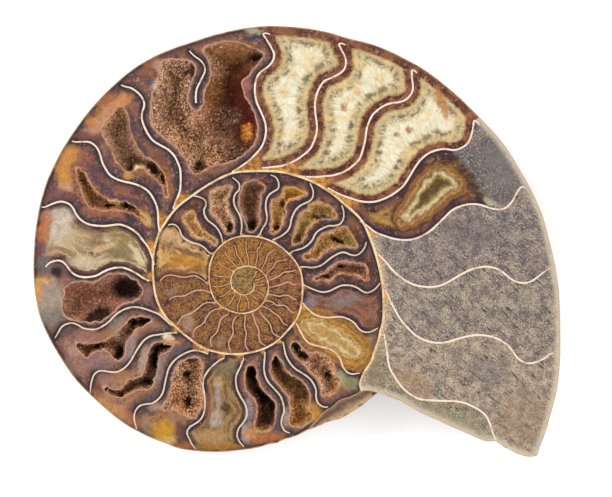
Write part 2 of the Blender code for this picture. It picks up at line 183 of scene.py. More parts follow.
class Finish:
    """The nodes of one material, added a step at a time."""

    def __init__(self, name, roughness=0.3):
        self.material = bpy.data.materials.new(name)
        self.material.use_nodes = True
        self.tree = self.material.node_tree
        self.shader = self.tree.nodes["Principled BSDF"]
        self.shader.inputs["Roughness"].default_value = roughness
        self.place = self.tree.nodes.new("ShaderNodeTexCoord").outputs["Object"]

    def feed(self, source, socket):
        if isinstance(source, bpy.types.NodeSocket):
            self.tree.links.new(source, socket)
        elif isinstance(source, tuple) and socket.type == "RGBA":
            socket.default_value = (*source, 1.0)
        else:
            socket.default_value = source

    def carried(self, name, output="Fac"):
        """A value that the mesh carries at its points."""
        node = self.tree.nodes.new("ShaderNodeAttribute")
        node.attribute_name = name
        return node.outputs[output]

    def maths(self, operation, first, second=0.0, third=0.0):
        node = self.tree.nodes.new("ShaderNodeMath")
        node.operation = operation
        for value, socket in zip((first, second, third), node.inputs):
            self.feed(value, socket)
        return node.outputs[0]

    def across(self, value, low, high, to_low=0.0, to_high=1.0):
        """The value's way from low to high, held at both ends."""
        node = self.tree.nodes.new("ShaderNodeMapRange")
        node.interpolation_type = "SMOOTHSTEP"
        for given, name in zip(
            (value, low, high, to_low, to_high), ("Value", "From Min", "From Max", "To Min", "To Max")
        ):
            self.feed(given, node.inputs[name])
        return node.outputs[0]

    def noise(self, scale, detail=3.0, roughness=0.55, where=None, distortion=0.0):
        node = self.tree.nodes.new("ShaderNodeTexNoise")
        self.feed(where or self.place, node.inputs["Vector"])
        for given, name in zip(
            (scale, detail, roughness, distortion), ("Scale", "Detail", "Roughness", "Distortion")
        ):
            node.inputs[name].default_value = given
        return node.outputs["Fac"]

    def cells(self, scale, output="Distance"):
        node = self.tree.nodes.new("ShaderNodeTexVoronoi")
        self.feed(self.place, node.inputs["Vector"])
        node.inputs["Scale"].default_value = scale
        return node.outputs[output]

    def triple(self, x, y, z=0.0):
        node = self.tree.nodes.new("ShaderNodeCombineXYZ")
        for value, socket in zip((x, y, z), node.inputs):
            self.feed(value, socket)
        return node.outputs[0]

    def turned(self, degrees, sizes):
        """The place turned about Z, then counted in these sizes."""
        node = self.tree.nodes.new("ShaderNodeMapping")
        node.vector_type = "TEXTURE"
        self.feed(self.place, node.inputs["Vector"])
        node.inputs["Rotation"].default_value = (0, 0, math.radians(degrees))
        node.inputs["Scale"].default_value = sizes
        return node.outputs[0]

    def blend(self, share, first, second, mode="MIX"):
        node = self.tree.nodes.new("ShaderNodeMix")
        node.data_type = "RGBA"
        node.blend_type = mode
        self.feed(share, node.inputs[0])
        self.feed(first, node.inputs[6])
        self.feed(second, node.inputs[7])
        return node.outputs[2]

    def darkened(self, colour, shade):
        return self.blend(1.0, colour, tone(*shade), "MULTIPLY")

    def layered(self, below, *layers):
        """Shades laid one over the other. Each comes with its shares, which are multiplied. A shade
        is a socket or a colour for tone, and a share is a socket or what across takes."""
        below = tone(*below) if isinstance(below, tuple) else below
        for shade, *shares in layers:
            strength, *others = (self.across(*s) if isinstance(s, tuple) else s for s in shares)
            for other in others:
                strength = self.maths("MULTIPLY", strength, other)
            shade = tone(*shade) if isinstance(shade, tuple) else shade
            below = self.blend(strength, below, shade)
        return below

    def shifted(self, value, noise, reach):
        """The value, moved up or down by up to half the reach."""
        return self.maths("ADD", value, self.maths("MULTIPLY_ADD", noise, reach, -reach / 2))

    def ramp(self, value, stops):
        node = self.tree.nodes.new("ShaderNodeValToRGB")
        self.feed(value, node.inputs["Fac"])
        band = node.color_ramp
        while len(band.elements) < len(stops):
            band.elements.new(0.5)
        for element, (position, colour) in zip(band.elements, stops):
            element.position = position
            element.color = (*tone(*colour), 1.0)
        return node.outputs["Color"]

    def bump(self, height, distance, strength=1.0):
        node = self.tree.nodes.new("ShaderNodeBump")
        node.inputs["Strength"].default_value = strength
        node.inputs["Distance"].default_value = distance
        self.feed(height, node.inputs["Height"])
        self.feed(node.outputs["Normal"], self.shader.inputs["Normal"])

    def colour(self, source):
        self.feed(source, self.shader.inputs["Base Color"])

    def rough(self, source):
        self.feed(source, self.shader.inputs["Roughness"])


def make_piece(name, points, faces, finish, carried=None, smooth=True, node="ammonite_half"):
    """A mesh piece, with the values that its material reads at its points."""
    mesh = bpy.data.meshes.new(name)
    mesh.from_pydata(np.asarray(points, float).tolist(), [], [list(map(int, f)) for f in faces])
    for key, values in (carried or {}).items():
        values = np.asarray(values, np.float32)
        if values.ndim == 2:
            values = np.column_stack([values, np.ones(len(values))])
            mesh.attributes.new(key, "FLOAT_COLOR", "POINT").data.foreach_set("color", values.ravel())
        else:
            mesh.attributes.new(key, "FLOAT", "POINT").data.foreach_set("value", values)
    mesh.materials.append(finish.material)
    mesh.polygons.foreach_set("use_smooth", [smooth] * len(mesh.polygons))
    piece = bpy.data.objects.new(name, mesh)
    bpy.context.scene.collection.objects.link(piece)
    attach(piece, "root")
    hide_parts(node)
    return piece


def grid_faces(rows, columns):
    """The faces of a grid whose points come row by row."""
    firsts = (row * columns + column for row in range(rows - 1) for column in range(columns - 1))
    return [(a, a + columns, a + columns + 1, a + 1) for a in firsts]


def ribbon(curve, half_width, lift):
    """A flush strip along a curve: points and faces, with its middle lifted a little."""
    tangent = np.gradient(curve, axis=0)
    tangent /= np.maximum(np.linalg.norm(tangent, axis=1), 1e-12)[:, None]
    side = np.column_stack([-tangent[:, 1], tangent[:, 0]])
    half = np.broadcast_to(half_width, len(curve))[:, None]
    rows = []
    for across, height in ((-1.0, -lift), (-0.55, lift), (0.55, lift), (1.0, -lift)):
        rows.append(np.column_stack([curve + side * half * across, np.full(len(curve), FACE + height)]))
    return np.stack(rows, axis=1).reshape(-1, 3), grid_faces(len(curve), len(rows))


def joined(parts):
    """Several (points, faces) as one."""
    points, faces, count = [], [], 0
    for some_points, some_faces in parts:
        points.append(some_points)
        faces += [tuple(i + count for i in face) for face in some_faces]
        count += len(some_points)
    return np.vstack(points), faces


def wander(places, scale, seed=0.0):
    """Smooth noise from -1 to 1 at each place."""
    return np.array([ground.noise(Vector((x * scale, y * scale, seed))) for x, y in places[:, :2]])


WALL_HALF = 0.00030
WALL_LIFT = 0.00002
wall_finish = Finish("tan_shell_wall", 0.22)
grain = wall_finish.noise(2600, 4)
wall_finish.colour(wall_finish.layered(
    (236, 208, 160),
    ((205, 160, 105), (wall_finish.noise(420, 2), 0.4, 0.62)),
    ((250, 232, 200), (grain, 0.52, 0.7)),
))
wall_finish.bump(grain, 0.00003)

spiral_even = evenly(spiral_curve, 2400)
inward_share = np.linspace(0, 1, len(spiral_even))
taper = np.interp(inward_share, (0, 0.04, 0.5, 0.75, 1), (0.6, 1.0, 0.85, 0.6, 0.35))
uneven = 1 + 0.22 * wander(spiral_even, 700, 3.0)
points, faces = ribbon(spiral_even, WALL_HALF * taper * uneven, WALL_LIFT)
make_piece("shell_wall", points, faces, wall_finish)

# THE SEPTA
# The thin walls between the chambers, cut through. Each is cream calcite, S-shaped, and runs
# from the outer wall in to the spiral. They come in the order of the coil, from the mouth.
# r: body chamber, w: white chambers, b: rest of that whorl, i: small hollows, j: amber chambers
SEPTA_PX = {
    "r5": (
        (384, 334), (387, 352), (389.4, 367), (395.5, 378), (402, 387), (410, 394), (420, 399),
        (437, 400.6), (450, 401), (461, 402), (471, 405.6), (480, 410.6), (486, 416), (490, 424),
        (492.5, 432.5), (496, 440),
    ),
    "r4": (
        (385.6, 291), (390, 300), (395, 310), (401, 320), (409, 329), (416, 335.6), (426, 340.6),
        (437.5, 342.8), (447.5, 342), (457.5, 339), (469, 336), (480, 335), (491, 336.5),
        (500, 340), (507.5, 345), (512.5, 351), (517.5, 358), (525, 362.5), (532.5, 363),
        (542.5, 359.4), (550, 354), (554, 353),
    ),
    "r3": (
        (378, 254), (385, 261), (392.5, 270), (401, 277.5), (410, 283), (419, 286), (430, 287),
        (440, 285.6), (450, 281), (460, 275), (470, 270), (479, 267.5), (487.5, 266.6),
        (497.5, 269), (505, 274), (511, 279), (517.5, 282), (525, 283), (532.5, 280.6),
        (540, 275), (549.7, 268),
    ),
    "r2": (
        (360, 221), (367.5, 226), (375, 232), (385, 236), (395, 239), (405, 240), (414, 239),
        (422.5, 235.6), (430, 231), (437.5, 224.4), (445, 217), (452.5, 210), (462.5, 205.6),
        (472.5, 204), (481, 205), (490, 208), (499, 209.4), (506, 207.5), (512.5, 201),
        (516, 194), (520.6, 187.5),
    ),
    "r1": (
        (474, 121), (472.5, 130), (470.6, 137.5), (467, 144), (461, 148), (454, 150), (444, 149),
        (435, 150.6), (427.5, 154), (420, 160.6), (414, 169), (409, 177.5), (404, 185), (400, 189),
        (389, 196.5), (375.5, 201.5), (362, 201.5), (347, 197), (337, 193), (328, 188),
    ),
    "w3": (
        (411.7, 70.5), (412, 78), (413, 87), (411.7, 93), (406.7, 99), (400, 102), (392, 103),
        (385.5, 105), (379, 109), (373, 114.4), (369.4, 121), (366.7, 129), (365.5, 138),
        (363, 149), (359.4, 159), (353, 165.5), (345.5, 171), (334.4, 175), (323, 176.4),
        (312, 177), (300, 176),
    ),
    "w2": (
        (339, 44), (341, 49), (344.4, 55.5), (346, 62), (344.4, 69), (339, 74), (331, 78),
        (324.4, 81), (319.4, 88), (316, 96.7), (315, 105.5), (315.5, 114.4), (316.7, 123),
        (316.7, 132), (314, 141), (310, 149), (302, 156), (293, 161.7), (283, 165.5), (272, 167),
        (262, 168),
    ),
    "w1": (
        (263, 34), (267, 40.5), (271, 47), (274, 54), (273, 60.5), (268, 66.7), (261, 71.7),
        (256.7, 78), (255, 86), (255, 94), (257, 103), (261, 112), (264.4, 120.5), (266, 129.4),
        (265, 138), (262, 146), (256.7, 153), (249, 160.5), (240, 167), (232, 172),
    ),
    "b1": (
        (121, 85), (125.5, 86.7), (131, 88), (136.7, 91.7), (141, 96), (144, 102), (144, 107),
        (142, 113), (142, 119.5), (144, 126), (148, 134), (153, 140.5), (160, 145), (168, 149.5),
        (174.4, 156), (178.3, 164), (180.5, 172), (180, 190), (175, 203), (173, 209),
    ),
    "b2": (
        (72, 141), (75.5, 142), (82, 141.7), (89, 142), (94.4, 145), (98.3, 150), (100.5, 156),
        (103, 164), (109, 174), (114.4, 178), (122, 181), (131, 183), (140, 186), (148, 191),
        (153, 198), (156.7, 206), (158, 215), (158.3, 223), (159.4, 232),
    ),
    "b3": (
        (41.7, 207), (45, 207), (51, 204.4), (58, 202), (63, 201.7), (69, 204), (73, 208),
        (76, 214), (81, 220), (88, 224), (95.5, 225.5), (104.4, 226), (113, 225), (119, 224.4),
        (125.5, 226), (132, 229.4), (138, 234), (143, 240.5), (148, 247), (151, 254),
        (153, 260.5), (154, 265),
    ),
    "b4": (
        (45.5, 267), (49.4, 263), (54.4, 261), (59, 260.5), (63, 262), (67, 266), (70.5, 271),
        (75.5, 275), (82, 277), (89, 277), (96.7, 275.5), (103, 272), (110, 269), (118, 267.4),
        (124.4, 268), (131, 270.5), (138, 274.4), (143, 278), (149, 281),
    ),
    "b5": (
        (55, 338), (58, 333), (61.7, 327), (66.7, 324), (72, 323), (78, 325), (83, 328),
        (90, 329.4), (96.7, 329), (103, 326), (109, 321.7), (114.4, 316), (121, 311), (128, 308),
        (134.4, 307), (142, 308), (151, 311), (159, 314.4), (164.4, 319), (172, 326),
    ),
    "b6": (
        (90.5, 393), (90.5, 388), (91.7, 381), (94.4, 374.4), (99, 371), (104.4, 371), (111, 372),
        (118, 371.7), (124.4, 368), (130, 362), (134.4, 354.4), (139, 346.7), (144.4, 340),
        (151, 336), (160, 334.4), (169, 333), (177, 333),
    ),
    "b7": (
        (136.7, 429), (135, 423), (134, 416.7), (136, 410), (140.5, 405.5), (146.7, 404),
        (153, 403), (159.4, 398), (163, 392), (165, 383), (166.7, 375.5), (169, 368),
        (174.4, 360.5), (181, 355.5), (188, 352), (195, 350.3), (202, 351.7), (208, 354),
    ),
    "b8": (
        (195.5, 449), (192, 444.4), (189.4, 439), (187, 433), (189, 428), (193, 425), (199, 421),
        (203, 415.5), (204.7, 408), (205, 400), (204, 392), (203, 385.5), (204, 378), (208, 371),
        (213, 365.5), (219.4, 360.5), (224.4, 358),
    ),
    "b9": (
        (244, 358), (240.5, 366.7), (236.7, 374.4), (235.8, 381), (237, 389), (240.5, 396.7),
        (244.4, 403), (246.7, 410), (246.4, 416.7), (243, 423), (239, 428), (237, 434.4),
        (239, 441), (244, 446.7),
    ),
    "b10": (
        (265, 352), (264.4, 361), (264, 369), (265.5, 376.7), (269, 383), (274.4, 389),
        (280, 395.5), (283, 403), (284, 411), (281.7, 419), (281.7, 425.5), (285, 431), (290, 433),
    ),
    "b11": (
        (283, 342), (284.4, 349), (286, 355.5), (290, 363), (295.5, 369), (302, 373), (309, 378),
        (313, 383), (316, 390), (316, 396.7), (318, 403), (323, 406.7), (328, 407),
    ),
    "b12": (
        (296, 323), (300.5, 331), (304, 338), (309, 343), (315.5, 345.5), (323, 347), (330, 349.4),
        (336.7, 354), (340.5, 360), (343, 366.7), (346.7, 371.7), (352, 374), (360, 373),
    ),
    "b13": (
        (303, 303), (308, 309), (314, 314), (320.5, 316.7), (329, 317.5), (340, 316.7), (348, 319),
        (354.4, 323), (359, 329), (364.4, 332), (371, 331.7), (378, 328),
    ),
    "i8": (
        (380, 283), (376.7, 287.5), (372.5, 290.8), (367.5, 292.7), (362.5, 291.3),
        (358.3, 288.3), (354, 286.3), (350, 285.4), (344, 285.2), (340, 286), (335, 288.3),
        (330, 290.8), (325, 292), (320, 291.7), (315, 290), (310, 288), (305.8, 285.8),
        (302.5, 284),
    ),
    "i7": (
        (366.3, 242), (365, 246.7), (362.5, 250.8), (359, 254), (355.4, 255.4), (350, 254.6),
        (346.7, 253), (343.3, 252.3), (339, 253.3), (335, 255.4), (330.8, 258), (326.7, 261.3),
        (322.5, 264.6), (317.5, 266.7), (311.7, 267.5), (305.8, 267), (300, 266.7),
    ),
    "i6": (
        (341.7, 205.4), (343.3, 210), (343.8, 216.7), (342, 221.7), (339, 224.6), (334, 225.8),
        (329, 225.8), (323.3, 228), (318.3, 230.8), (315, 234.6), (313.3, 238.3), (310.8, 242),
        (306.7, 245.8), (302.5, 248.3), (296.7, 250), (291.7, 251.7), (288.3, 255),
    ),
    "i5": (
        (310, 183.3), (312, 187.5), (313.3, 192.5), (312.5, 197.5), (310, 200.8), (305, 203.3),
        (300, 205.8), (295.8, 210), (293, 215), (291.3, 220), (290.4, 225), (288.3, 230),
        (285, 233.3), (280.8, 236.3), (276.7, 238.3), (272.5, 240),
    ),
    "i4": (
        (270.8, 175), (275.4, 177), (278, 180.8), (278.8, 185), (278, 188.8), (274, 191.3),
        (270, 194), (267, 198.3), (265.8, 203.3), (265.8, 209), (266.7, 214), (267, 218.3),
        (265.8, 223.3), (263.3, 227.5), (261.3, 230.8), (260, 234), (257.5, 236.3),
    ),
    "i3": (
        (232.5, 177.5), (235.8, 180), (238.8, 183), (239.6, 186.7), (238.8, 190.4),
        (235.8, 193.3), (234, 197.5), (234, 203.3), (235.8, 208.3), (238.8, 213.3),
        (240.8, 218.3), (241.7, 223.3), (241.7, 228.3), (241, 233.3), (240.8, 235.4),
    ),
    "i2": (
        (193.3, 195.8), (198.3, 196.7), (203.3, 198.8), (205.8, 201.7), (205.8, 205.8), (204, 210),
        (204.6, 215), (207.5, 220), (211.7, 223.3), (215.8, 226.7), (218.8, 230.8), (220.8, 235),
        (222, 239), (222.5, 242.5),
    ),
    "i1": (
        (168.3, 225), (173.3, 224.2), (177.5, 226.7), (180, 230.8), (181.3, 235), (185, 239),
        (191.7, 242.5), (196.7, 243.8), (201.7, 245.8), (205.8, 249), (209, 252.5), (212.5, 254),
    ),
    "j1": (
        (160, 280.8), (162.5, 278.3), (165.8, 275.8), (170.8, 275), (175.8, 275.8), (181.7, 277),
        (186.7, 277), (191.7, 275.8), (195.8, 275.8), (200, 278), (204, 280.8), (207.5, 284),
    ),
    "j2": (
        (169, 300), (172.5, 297.5), (176.7, 296.3), (182.5, 296.3), (186.7, 295), (190.8, 292.5),
        (195, 290.8), (200, 290), (205, 290.8), (210.8, 293),
    ),
    "j3": (
        (176.7, 325), (179.6, 320.8), (181.7, 317.5), (185.8, 315), (190.8, 313.3), (195, 310.8),
        (199, 307.5), (203.3, 304), (208.3, 302.5), (215.8, 303),
    ),
    "j4": (
        (193.3, 337.5), (193.3, 332.5), (195.8, 328.3), (200, 325.8), (204, 322.5), (206.7, 317.5),
        (210, 312.5), (215, 309.6), (222.5, 308.3),
    ),
    "j5": (
        (211.7, 346.7), (210.4, 340), (213.3, 335.8), (216.7, 332.5), (218.8, 326.7), (220, 321.7),
        (222.5, 317.5), (229, 314),
    ),
    "j6": (
        (230.8, 352.5), (229, 346.7), (229, 341.7), (231.7, 336.7), (233.3, 331.7), (232.5, 326.7),
        (233.3, 321.7), (236.7, 315.8),
    ),
    "j7": (
        (248, 350), (245.4, 345), (245.4, 339), (246.3, 333.3), (244.6, 326.7), (245, 320),
        (245.8, 315),
    ),
    "j8": (
        (265.8, 345.8), (260.8, 342.5), (259, 337.5), (259, 332.5), (258.3, 328.3), (255.8, 324),
        (254, 318.3), (252.5, 313.3),
    ),
    "j9": (
        (280, 336.7), (275.8, 335.4), (272.5, 332.5), (271.3, 328.3), (270, 324), (266.7, 320),
        (263.3, 316.7), (260, 311.7),
    ),
    "j10": (
        (287.5, 325.4), (283.3, 323.3), (280.8, 319), (278.3, 315.8), (273.3, 312.5), (269, 309),
        (262.5, 306.3),
    ),
    "j11": (
        (294, 313), (290, 310.8), (287.5, 307.5), (284, 305.4), (280, 305.4), (276.7, 305.4),
        (271.7, 301.7), (265, 300.8),
    ),
    "j12": (
        (296.7, 300.4), (292.5, 298.3), (289, 295.8), (285, 295), (280, 296.3), (275, 295.4),
        (268.3, 294),
    ),
    "j13": (
        (296.7, 284), (293.3, 284.6), (290, 282.5), (286.7, 282), (283.3, 283.8), (278.3, 285.4),
        (271.7, 287),
    ),
    "j14": (
        (295.8, 270.4), (291.7, 271.3), (287.5, 271.7), (283.3, 272.5), (280, 275.4), (275, 278),
        (270, 280),
    ),
    "j15": (
        (287.7, 259), (281.7, 260.7), (276.3, 261.7), (275, 264.3), (273, 267.7), (269.7, 271),
        (266.7, 273.7),
    ),
    "j16": (
        (275, 249.3), (271.7, 251.7), (268.3, 254.3), (266.7, 257.7), (265.7, 261.7), (263.7, 265),
        (261.7, 269),
    ),
    "j17": (
        (261.7, 241.7), (260, 246.3), (257.3, 249.7), (257.3, 254.3), (257, 259), (256, 263.7),
        (255, 266),
    ),
    "j18": ((246.3, 241), (246, 249.7), (247.3, 254.3), (248.3, 259.7), (248.7, 265)),
    "j19": (
        (234.3, 245), (236, 249.7), (236.7, 254.3), (239.7, 258.3), (241.7, 262.3), (243, 265.7),
    ),
    "j20": (
        (225, 251.7), (227, 255.7), (229.7, 259.7), (233, 263), (235.7, 266.3), (237.7, 268.3),
    ),
    "j21": ((217, 262), (220.3, 264.3), (223.7, 267.3), (227.7, 268.7), (231.7, 271)),
    "j22": ((213.7, 275), (218.3, 276.3), (223.7, 276.3), (228.3, 277.3), (231.7, 277)),
    "j23": ((213, 286.3), (218.3, 286.7), (223.7, 285.7), (227, 284.3), (231, 283.7)),
    "j24": ((219, 296.7), (223.7, 295.7), (227, 293), (231, 290.3)),
    "j25": ((227.7, 305), (231, 301.7), (233, 298.3), (235.3, 293.7)),
    "j26": ((237.7, 311.7), (237.7, 305.7), (239.7, 300.3), (240.7, 296.3)),
    "j27": ((248.3, 309), (249, 304.3), (247.7, 300.3), (246.3, 296.3)),
    "j28": ((257.7, 299.7), (254.3, 297.3), (251.7, 295)),
    "j29": ((264.3, 297), (262.3, 294.3), (259, 292.3), (255, 290.3)),
    "j30": ((265, 284.3), (259.7, 285.3), (255, 285.3)),
    "j31": ((264, 277), (259, 279.3), (255, 280.3)),
    "j32": ((257, 271), (255.7, 274.3), (253.7, 277.7)),
}
# Small hooks at the outer ends of five of them, and the one that hangs broken into a hollow
HOOKS_PX = (
    ((525, 188), (522.5, 186.5), (520.6, 187.5), (518, 191)),
    ((480, 125.6), (477, 122), (474, 120.5), (473.5, 125)),
    ((417, 73), (414, 70.5), (411.7, 70.5), (411.9, 75)),
    ((345.5, 45), (342, 43.5), (339, 44), (340, 47)),
    ((270, 34.4), (266, 33.2), (263, 34), (265, 37.5)),
)
BROKEN_SEPTUM_PX = (
    (189.4, 51), (194.4, 56), (200, 60), (204, 65), (205, 70.5), (203, 76), (199.4, 83),
    (196.7, 89.4), (195.8, 96), (196, 103),
)
SEPTUM_STEP = 0.0003


def wall_index(place):
    return int(np.argmin(np.linalg.norm(wall - place, axis=1)))


def septum_curve(corners):
    """A septum from the wall inside it to the wall outside it, and its two places on the wall."""
    curve = smooth_curve(on_face(corners), SEPTUM_STEP)
    if wall_index(curve[0]) < wall_index(curve[-1]):
        curve = curve[::-1]
    inner_index, outer_index = wall_index(curve[0]), wall_index(curve[-1])
    whole = np.vstack([wall[inner_index], curve, wall[outer_index]])
    return curve, whole, inner_index, outer_index


septa = {name: septum_curve(corners) for name, corners in SEPTA_PX.items()}

# Half widths: in the outer whorl, by the small hollows, in the amber chambers, in those of them
# nearest the middle, and along a hook
SEPTUM_HALF = 0.00024
SECOND_SEPTUM_HALF = 0.00018
INNER_SEPTUM_HALF = 0.00013
CENTRE_SEPTUM_HALF = 0.00009
HOOK_HALVES = (0.00014, 0.00024)
FIRST_CENTRE = 15
# From the fifth after the white chambers on, the outer whorl's are thinner and a little tan
LAST_WIDE, THINNER = 4, 0.84
septum_finish = Finish("cream_septa", 0.2)
septum_finish.colour(septum_finish.layered(
    (244, 222, 200),
    ((206, 162, 122), septum_finish.carried("tan")),
    ((206, 158, 116), (septum_finish.noise(700, 3), 0.5, 0.72)),
))
septum_finish.bump(septum_finish.noise(3000, 3), 0.00002)

strips, tans = [], []
for name, (curve, _, _, _) in septa.items():
    even = evenly(curve, max(8, round(length_of(curve) / SEPTUM_STEP)))
    share = np.linspace(0, 1, len(even))
    if name[0] == "j":
        half = INNER_SEPTUM_HALF if int(name[1:]) < FIRST_CENTRE else CENTRE_SEPTUM_HALF
        half = half * (0.85 + 0.3 * np.sin(share * math.pi))
        tan_share = 1.0
    elif name[0] == "i":
        half = SECOND_SEPTUM_HALF * (0.8 + 0.35 * np.sin(share * math.pi))
        tan_share = 0.45
    else:
        half = SEPTUM_HALF * np.interp(share, (0, 0.1, 0.5, 0.93, 1), (0.75, 0.95, 1.0, 0.9, 0.55))
        tan_share = 0.0
        if name[0] == "b" and int(name[1:]) > LAST_WIDE:
            half = half * THINNER
            tan_share = 0.35
    half = half * (1 + 0.15 * wander(even, 900, 7.0))
    strip = ribbon(even, half, WALL_LIFT * 1.5)
    strips.append(strip)
    tans.append(np.full(len(strip[0]), tan_share))
for corners in HOOKS_PX + (BROKEN_SEPTUM_PX,):
    curve = smooth_curve(on_face(corners), SEPTUM_STEP)
    strip = ribbon(curve, np.linspace(*HOOK_HALVES, len(curve)), WALL_LIFT)
    strips.append(strip)
    tans.append(np.zeros(len(strip[0])))
points, faces = joined(strips)
make_piece("septa", points, faces, septum_finish, {"tan": np.concatenate(tans)})

# THE OPEN HOLLOWS
# Chambers that never filled. Brown calcite crystals grew inwards from their walls, and the saw
# opened them. Each outline runs round the opening on the polished face.
# Depth and crystal size in metres, the crystals' colour, how sandy they are, and the outline
HOLLOWS = (
    (0.0082, 0.0006, (214, 154, 122), 0.9, (
        (162, 62), (176, 60), (189, 61), (195, 68), (192, 79), (188, 92), (188, 104), (196, 112),
        (204, 104), (206, 90), (211, 78), (210, 62), (204, 49), (216, 44), (232, 42), (250, 47),
        (263, 54), (258, 63), (249, 74), (241, 82), (245, 96), (253, 112), (257, 130), (253, 144),
        (240, 157), (222, 163), (206, 168), (195, 174), (187, 160), (174, 144), (158, 132),
        (151, 118), (152, 98), (157, 84),
    )),
    (0.0046, 0.0005, (194, 150, 120), 0.45, (
        (113, 113), (120, 106), (127, 114), (131, 134), (141, 153), (156, 164), (165, 178),
        (167, 197), (162, 186), (150, 174), (140, 167), (128, 171), (117, 162), (111, 147),
        (103, 136), (104, 124),
    )),
    (0.0036, 0.00045, (168, 120, 84), 0.4, (
        (76, 168), (84, 173), (90, 184), (99, 194), (112, 200), (128, 203), (140, 212),
        (149, 223), (134, 214), (118, 210), (100, 210), (88, 205), (82, 192),
    )),
    (0.0052, 0.0005, (166, 114, 98), 0.3, (
        (67, 286), (80, 282), (94, 283), (108, 275), (124, 275), (138, 283), (142, 293),
        (134, 301), (122, 303), (112, 313), (99, 321), (82, 321), (67, 317), (62, 306), (65, 294),
    )),
    (0.0044, 0.00045, (140, 94, 74), 0.5, (
        (75, 343), (90, 344), (106, 340), (119, 331), (131, 319), (146, 317), (151, 321),
        (137, 329), (127, 341), (124, 355), (116, 360), (108, 351), (96, 351), (86, 357),
    )),
    (0.0048, 0.00045, (130, 92, 76), 0.4, (
        (150, 348), (158, 343), (172, 345), (169, 350), (159, 356), (157, 371), (150, 387),
        (135, 390), (121, 397), (106, 391), (104, 386), (119, 390), (129, 380), (142, 376),
        (147, 361),
    )),
    (0.0034, 0.0005, (222, 158, 108), 0.9, (
        (180, 363), (190, 358), (200, 360), (202, 370), (200, 382), (203, 396), (200, 410),
        (191, 418), (178, 411), (163, 408), (168, 399), (172, 386), (174, 373),
    )),
    (0.0046, 0.00045, (114, 78, 66), 0.2, (
        (248, 366), (255, 367), (257, 378), (263, 391), (273, 400), (275, 412), (272, 428),
        (262, 432), (255, 426), (258, 412), (255, 400), (246, 387),
    )),
    (0.0038, 0.00045, (164, 120, 80), 0.3, (
        (274, 356), (281, 362), (287, 373), (301, 381), (309, 393), (308, 408), (312, 416),
        (303, 426), (290, 424), (291, 411), (289, 396), (279, 385), (271, 371),
    )),
    (0.0042, 0.0005, (214, 160, 120), 0.8, (
        (292, 342), (299, 345), (307, 353), (320, 353), (331, 361), (336, 373), (340, 382),
        (332, 394), (323, 395), (319, 382), (309, 369), (298, 358), (292, 350),
    )),
    (0.0020, 0.0004, (226, 190, 124), 0.5, (
        (182, 218), (192, 210), (196, 219), (203, 230), (214, 238), (215, 244), (205, 239),
        (193, 236), (188, 226),
    )),
    (0.0030, 0.0004, (232, 190, 144), 0.8, (
        (211, 194), (220, 188), (231, 186), (228, 195), (227, 207), (233, 219), (233, 232),
        (227, 233), (219, 221), (212, 213),
    )),
    (0.0048, 0.0004, (146, 110, 90), 0.3, (
        (245, 184), (255, 181), (264, 187), (260, 197), (259, 212), (258, 225), (250, 231),
        (245, 219), (239, 204), (241, 194),
    )),
    (0.0030, 0.0004, (212, 162, 92), 0.6, (
        (285, 188), (296, 188), (306, 194), (298, 198), (286, 203), (284, 217), (279, 230),
        (271, 232), (272, 217), (271, 203), (282, 196),
    )),
    (0.0034, 0.0004, (204, 166, 104), 0.5, (
        (316, 202), (326, 204), (335, 213), (334, 219), (320, 219), (309, 228), (304, 239),
        (293, 244), (295, 232), (299, 217), (307, 209),
    )),
    (0.0026, 0.0004, (214, 166, 96), 0.7, (
        (346, 227), (352, 236), (357, 247), (345, 246), (329, 249), (318, 258), (303, 258),
        (313, 249), (320, 237), (332, 231),
    )),
    (0.0030, 0.0004, (190, 138, 104), 0.7, (
        (313, 279), (324, 273), (337, 263), (352, 263), (365, 266), (368, 280), (356, 276),
        (341, 273), (328, 280),
    )),
)
OUTLINE_STEP = 0.0003
HOLLOW_LIP = 0.0008
GRID_STEP = 0.00032


def inside_distance(places, outline):
    """Distance from each place to a closed outline, below zero outside, and the nearest point."""
    loop = np.vstack([outline, outline[:1]])
    gap, nearest, _ = to_curve(places, loop)
    start, end = loop[:-1], loop[1:]
    inside = []
    for block in np.array_split(places, max(1, len(places) * len(start) // 2_000_000)):
        x, y = block[:, 0:1], block[:, 1:2]
        spans = (start[:, 1] > y) != (end[:, 1] > y)
        rise = end[:, 1] - start[:, 1]
        rise = np.where(np.abs(rise) > 1e-12, rise, 1e-12)
        cross = start[:, 0] + (y - start[:, 1]) * (end[:, 0] - start[:, 0]) / rise
        inside.append((spans & (x < cross)).sum(1) % 2 == 1)
    inside = np.concatenate(inside)
    return np.where(inside, gap, -gap), nearest


def jagged(outline):
    """The outline pushed in and out a little, as crystals leave it."""
    run = np.roll(outline, -1, axis=0) - np.roll(outline, 1, axis=0)
    length = np.maximum(np.linalg.norm(run, axis=1), 1e-12)
    side = np.column_stack([-run[:, 1], run[:, 0]]) / length[:, None]
    push = 0.00030 * wander(outline, 1000, 5.0) + 0.00022 * wander(outline, 2700, 9.0)
    return outline + side * push[:, None]


hollow_outlines = [jagged(smooth_curve(on_face(corners), OUTLINE_STEP, closed=True))
                   for _, _, _, _, corners in HOLLOWS]

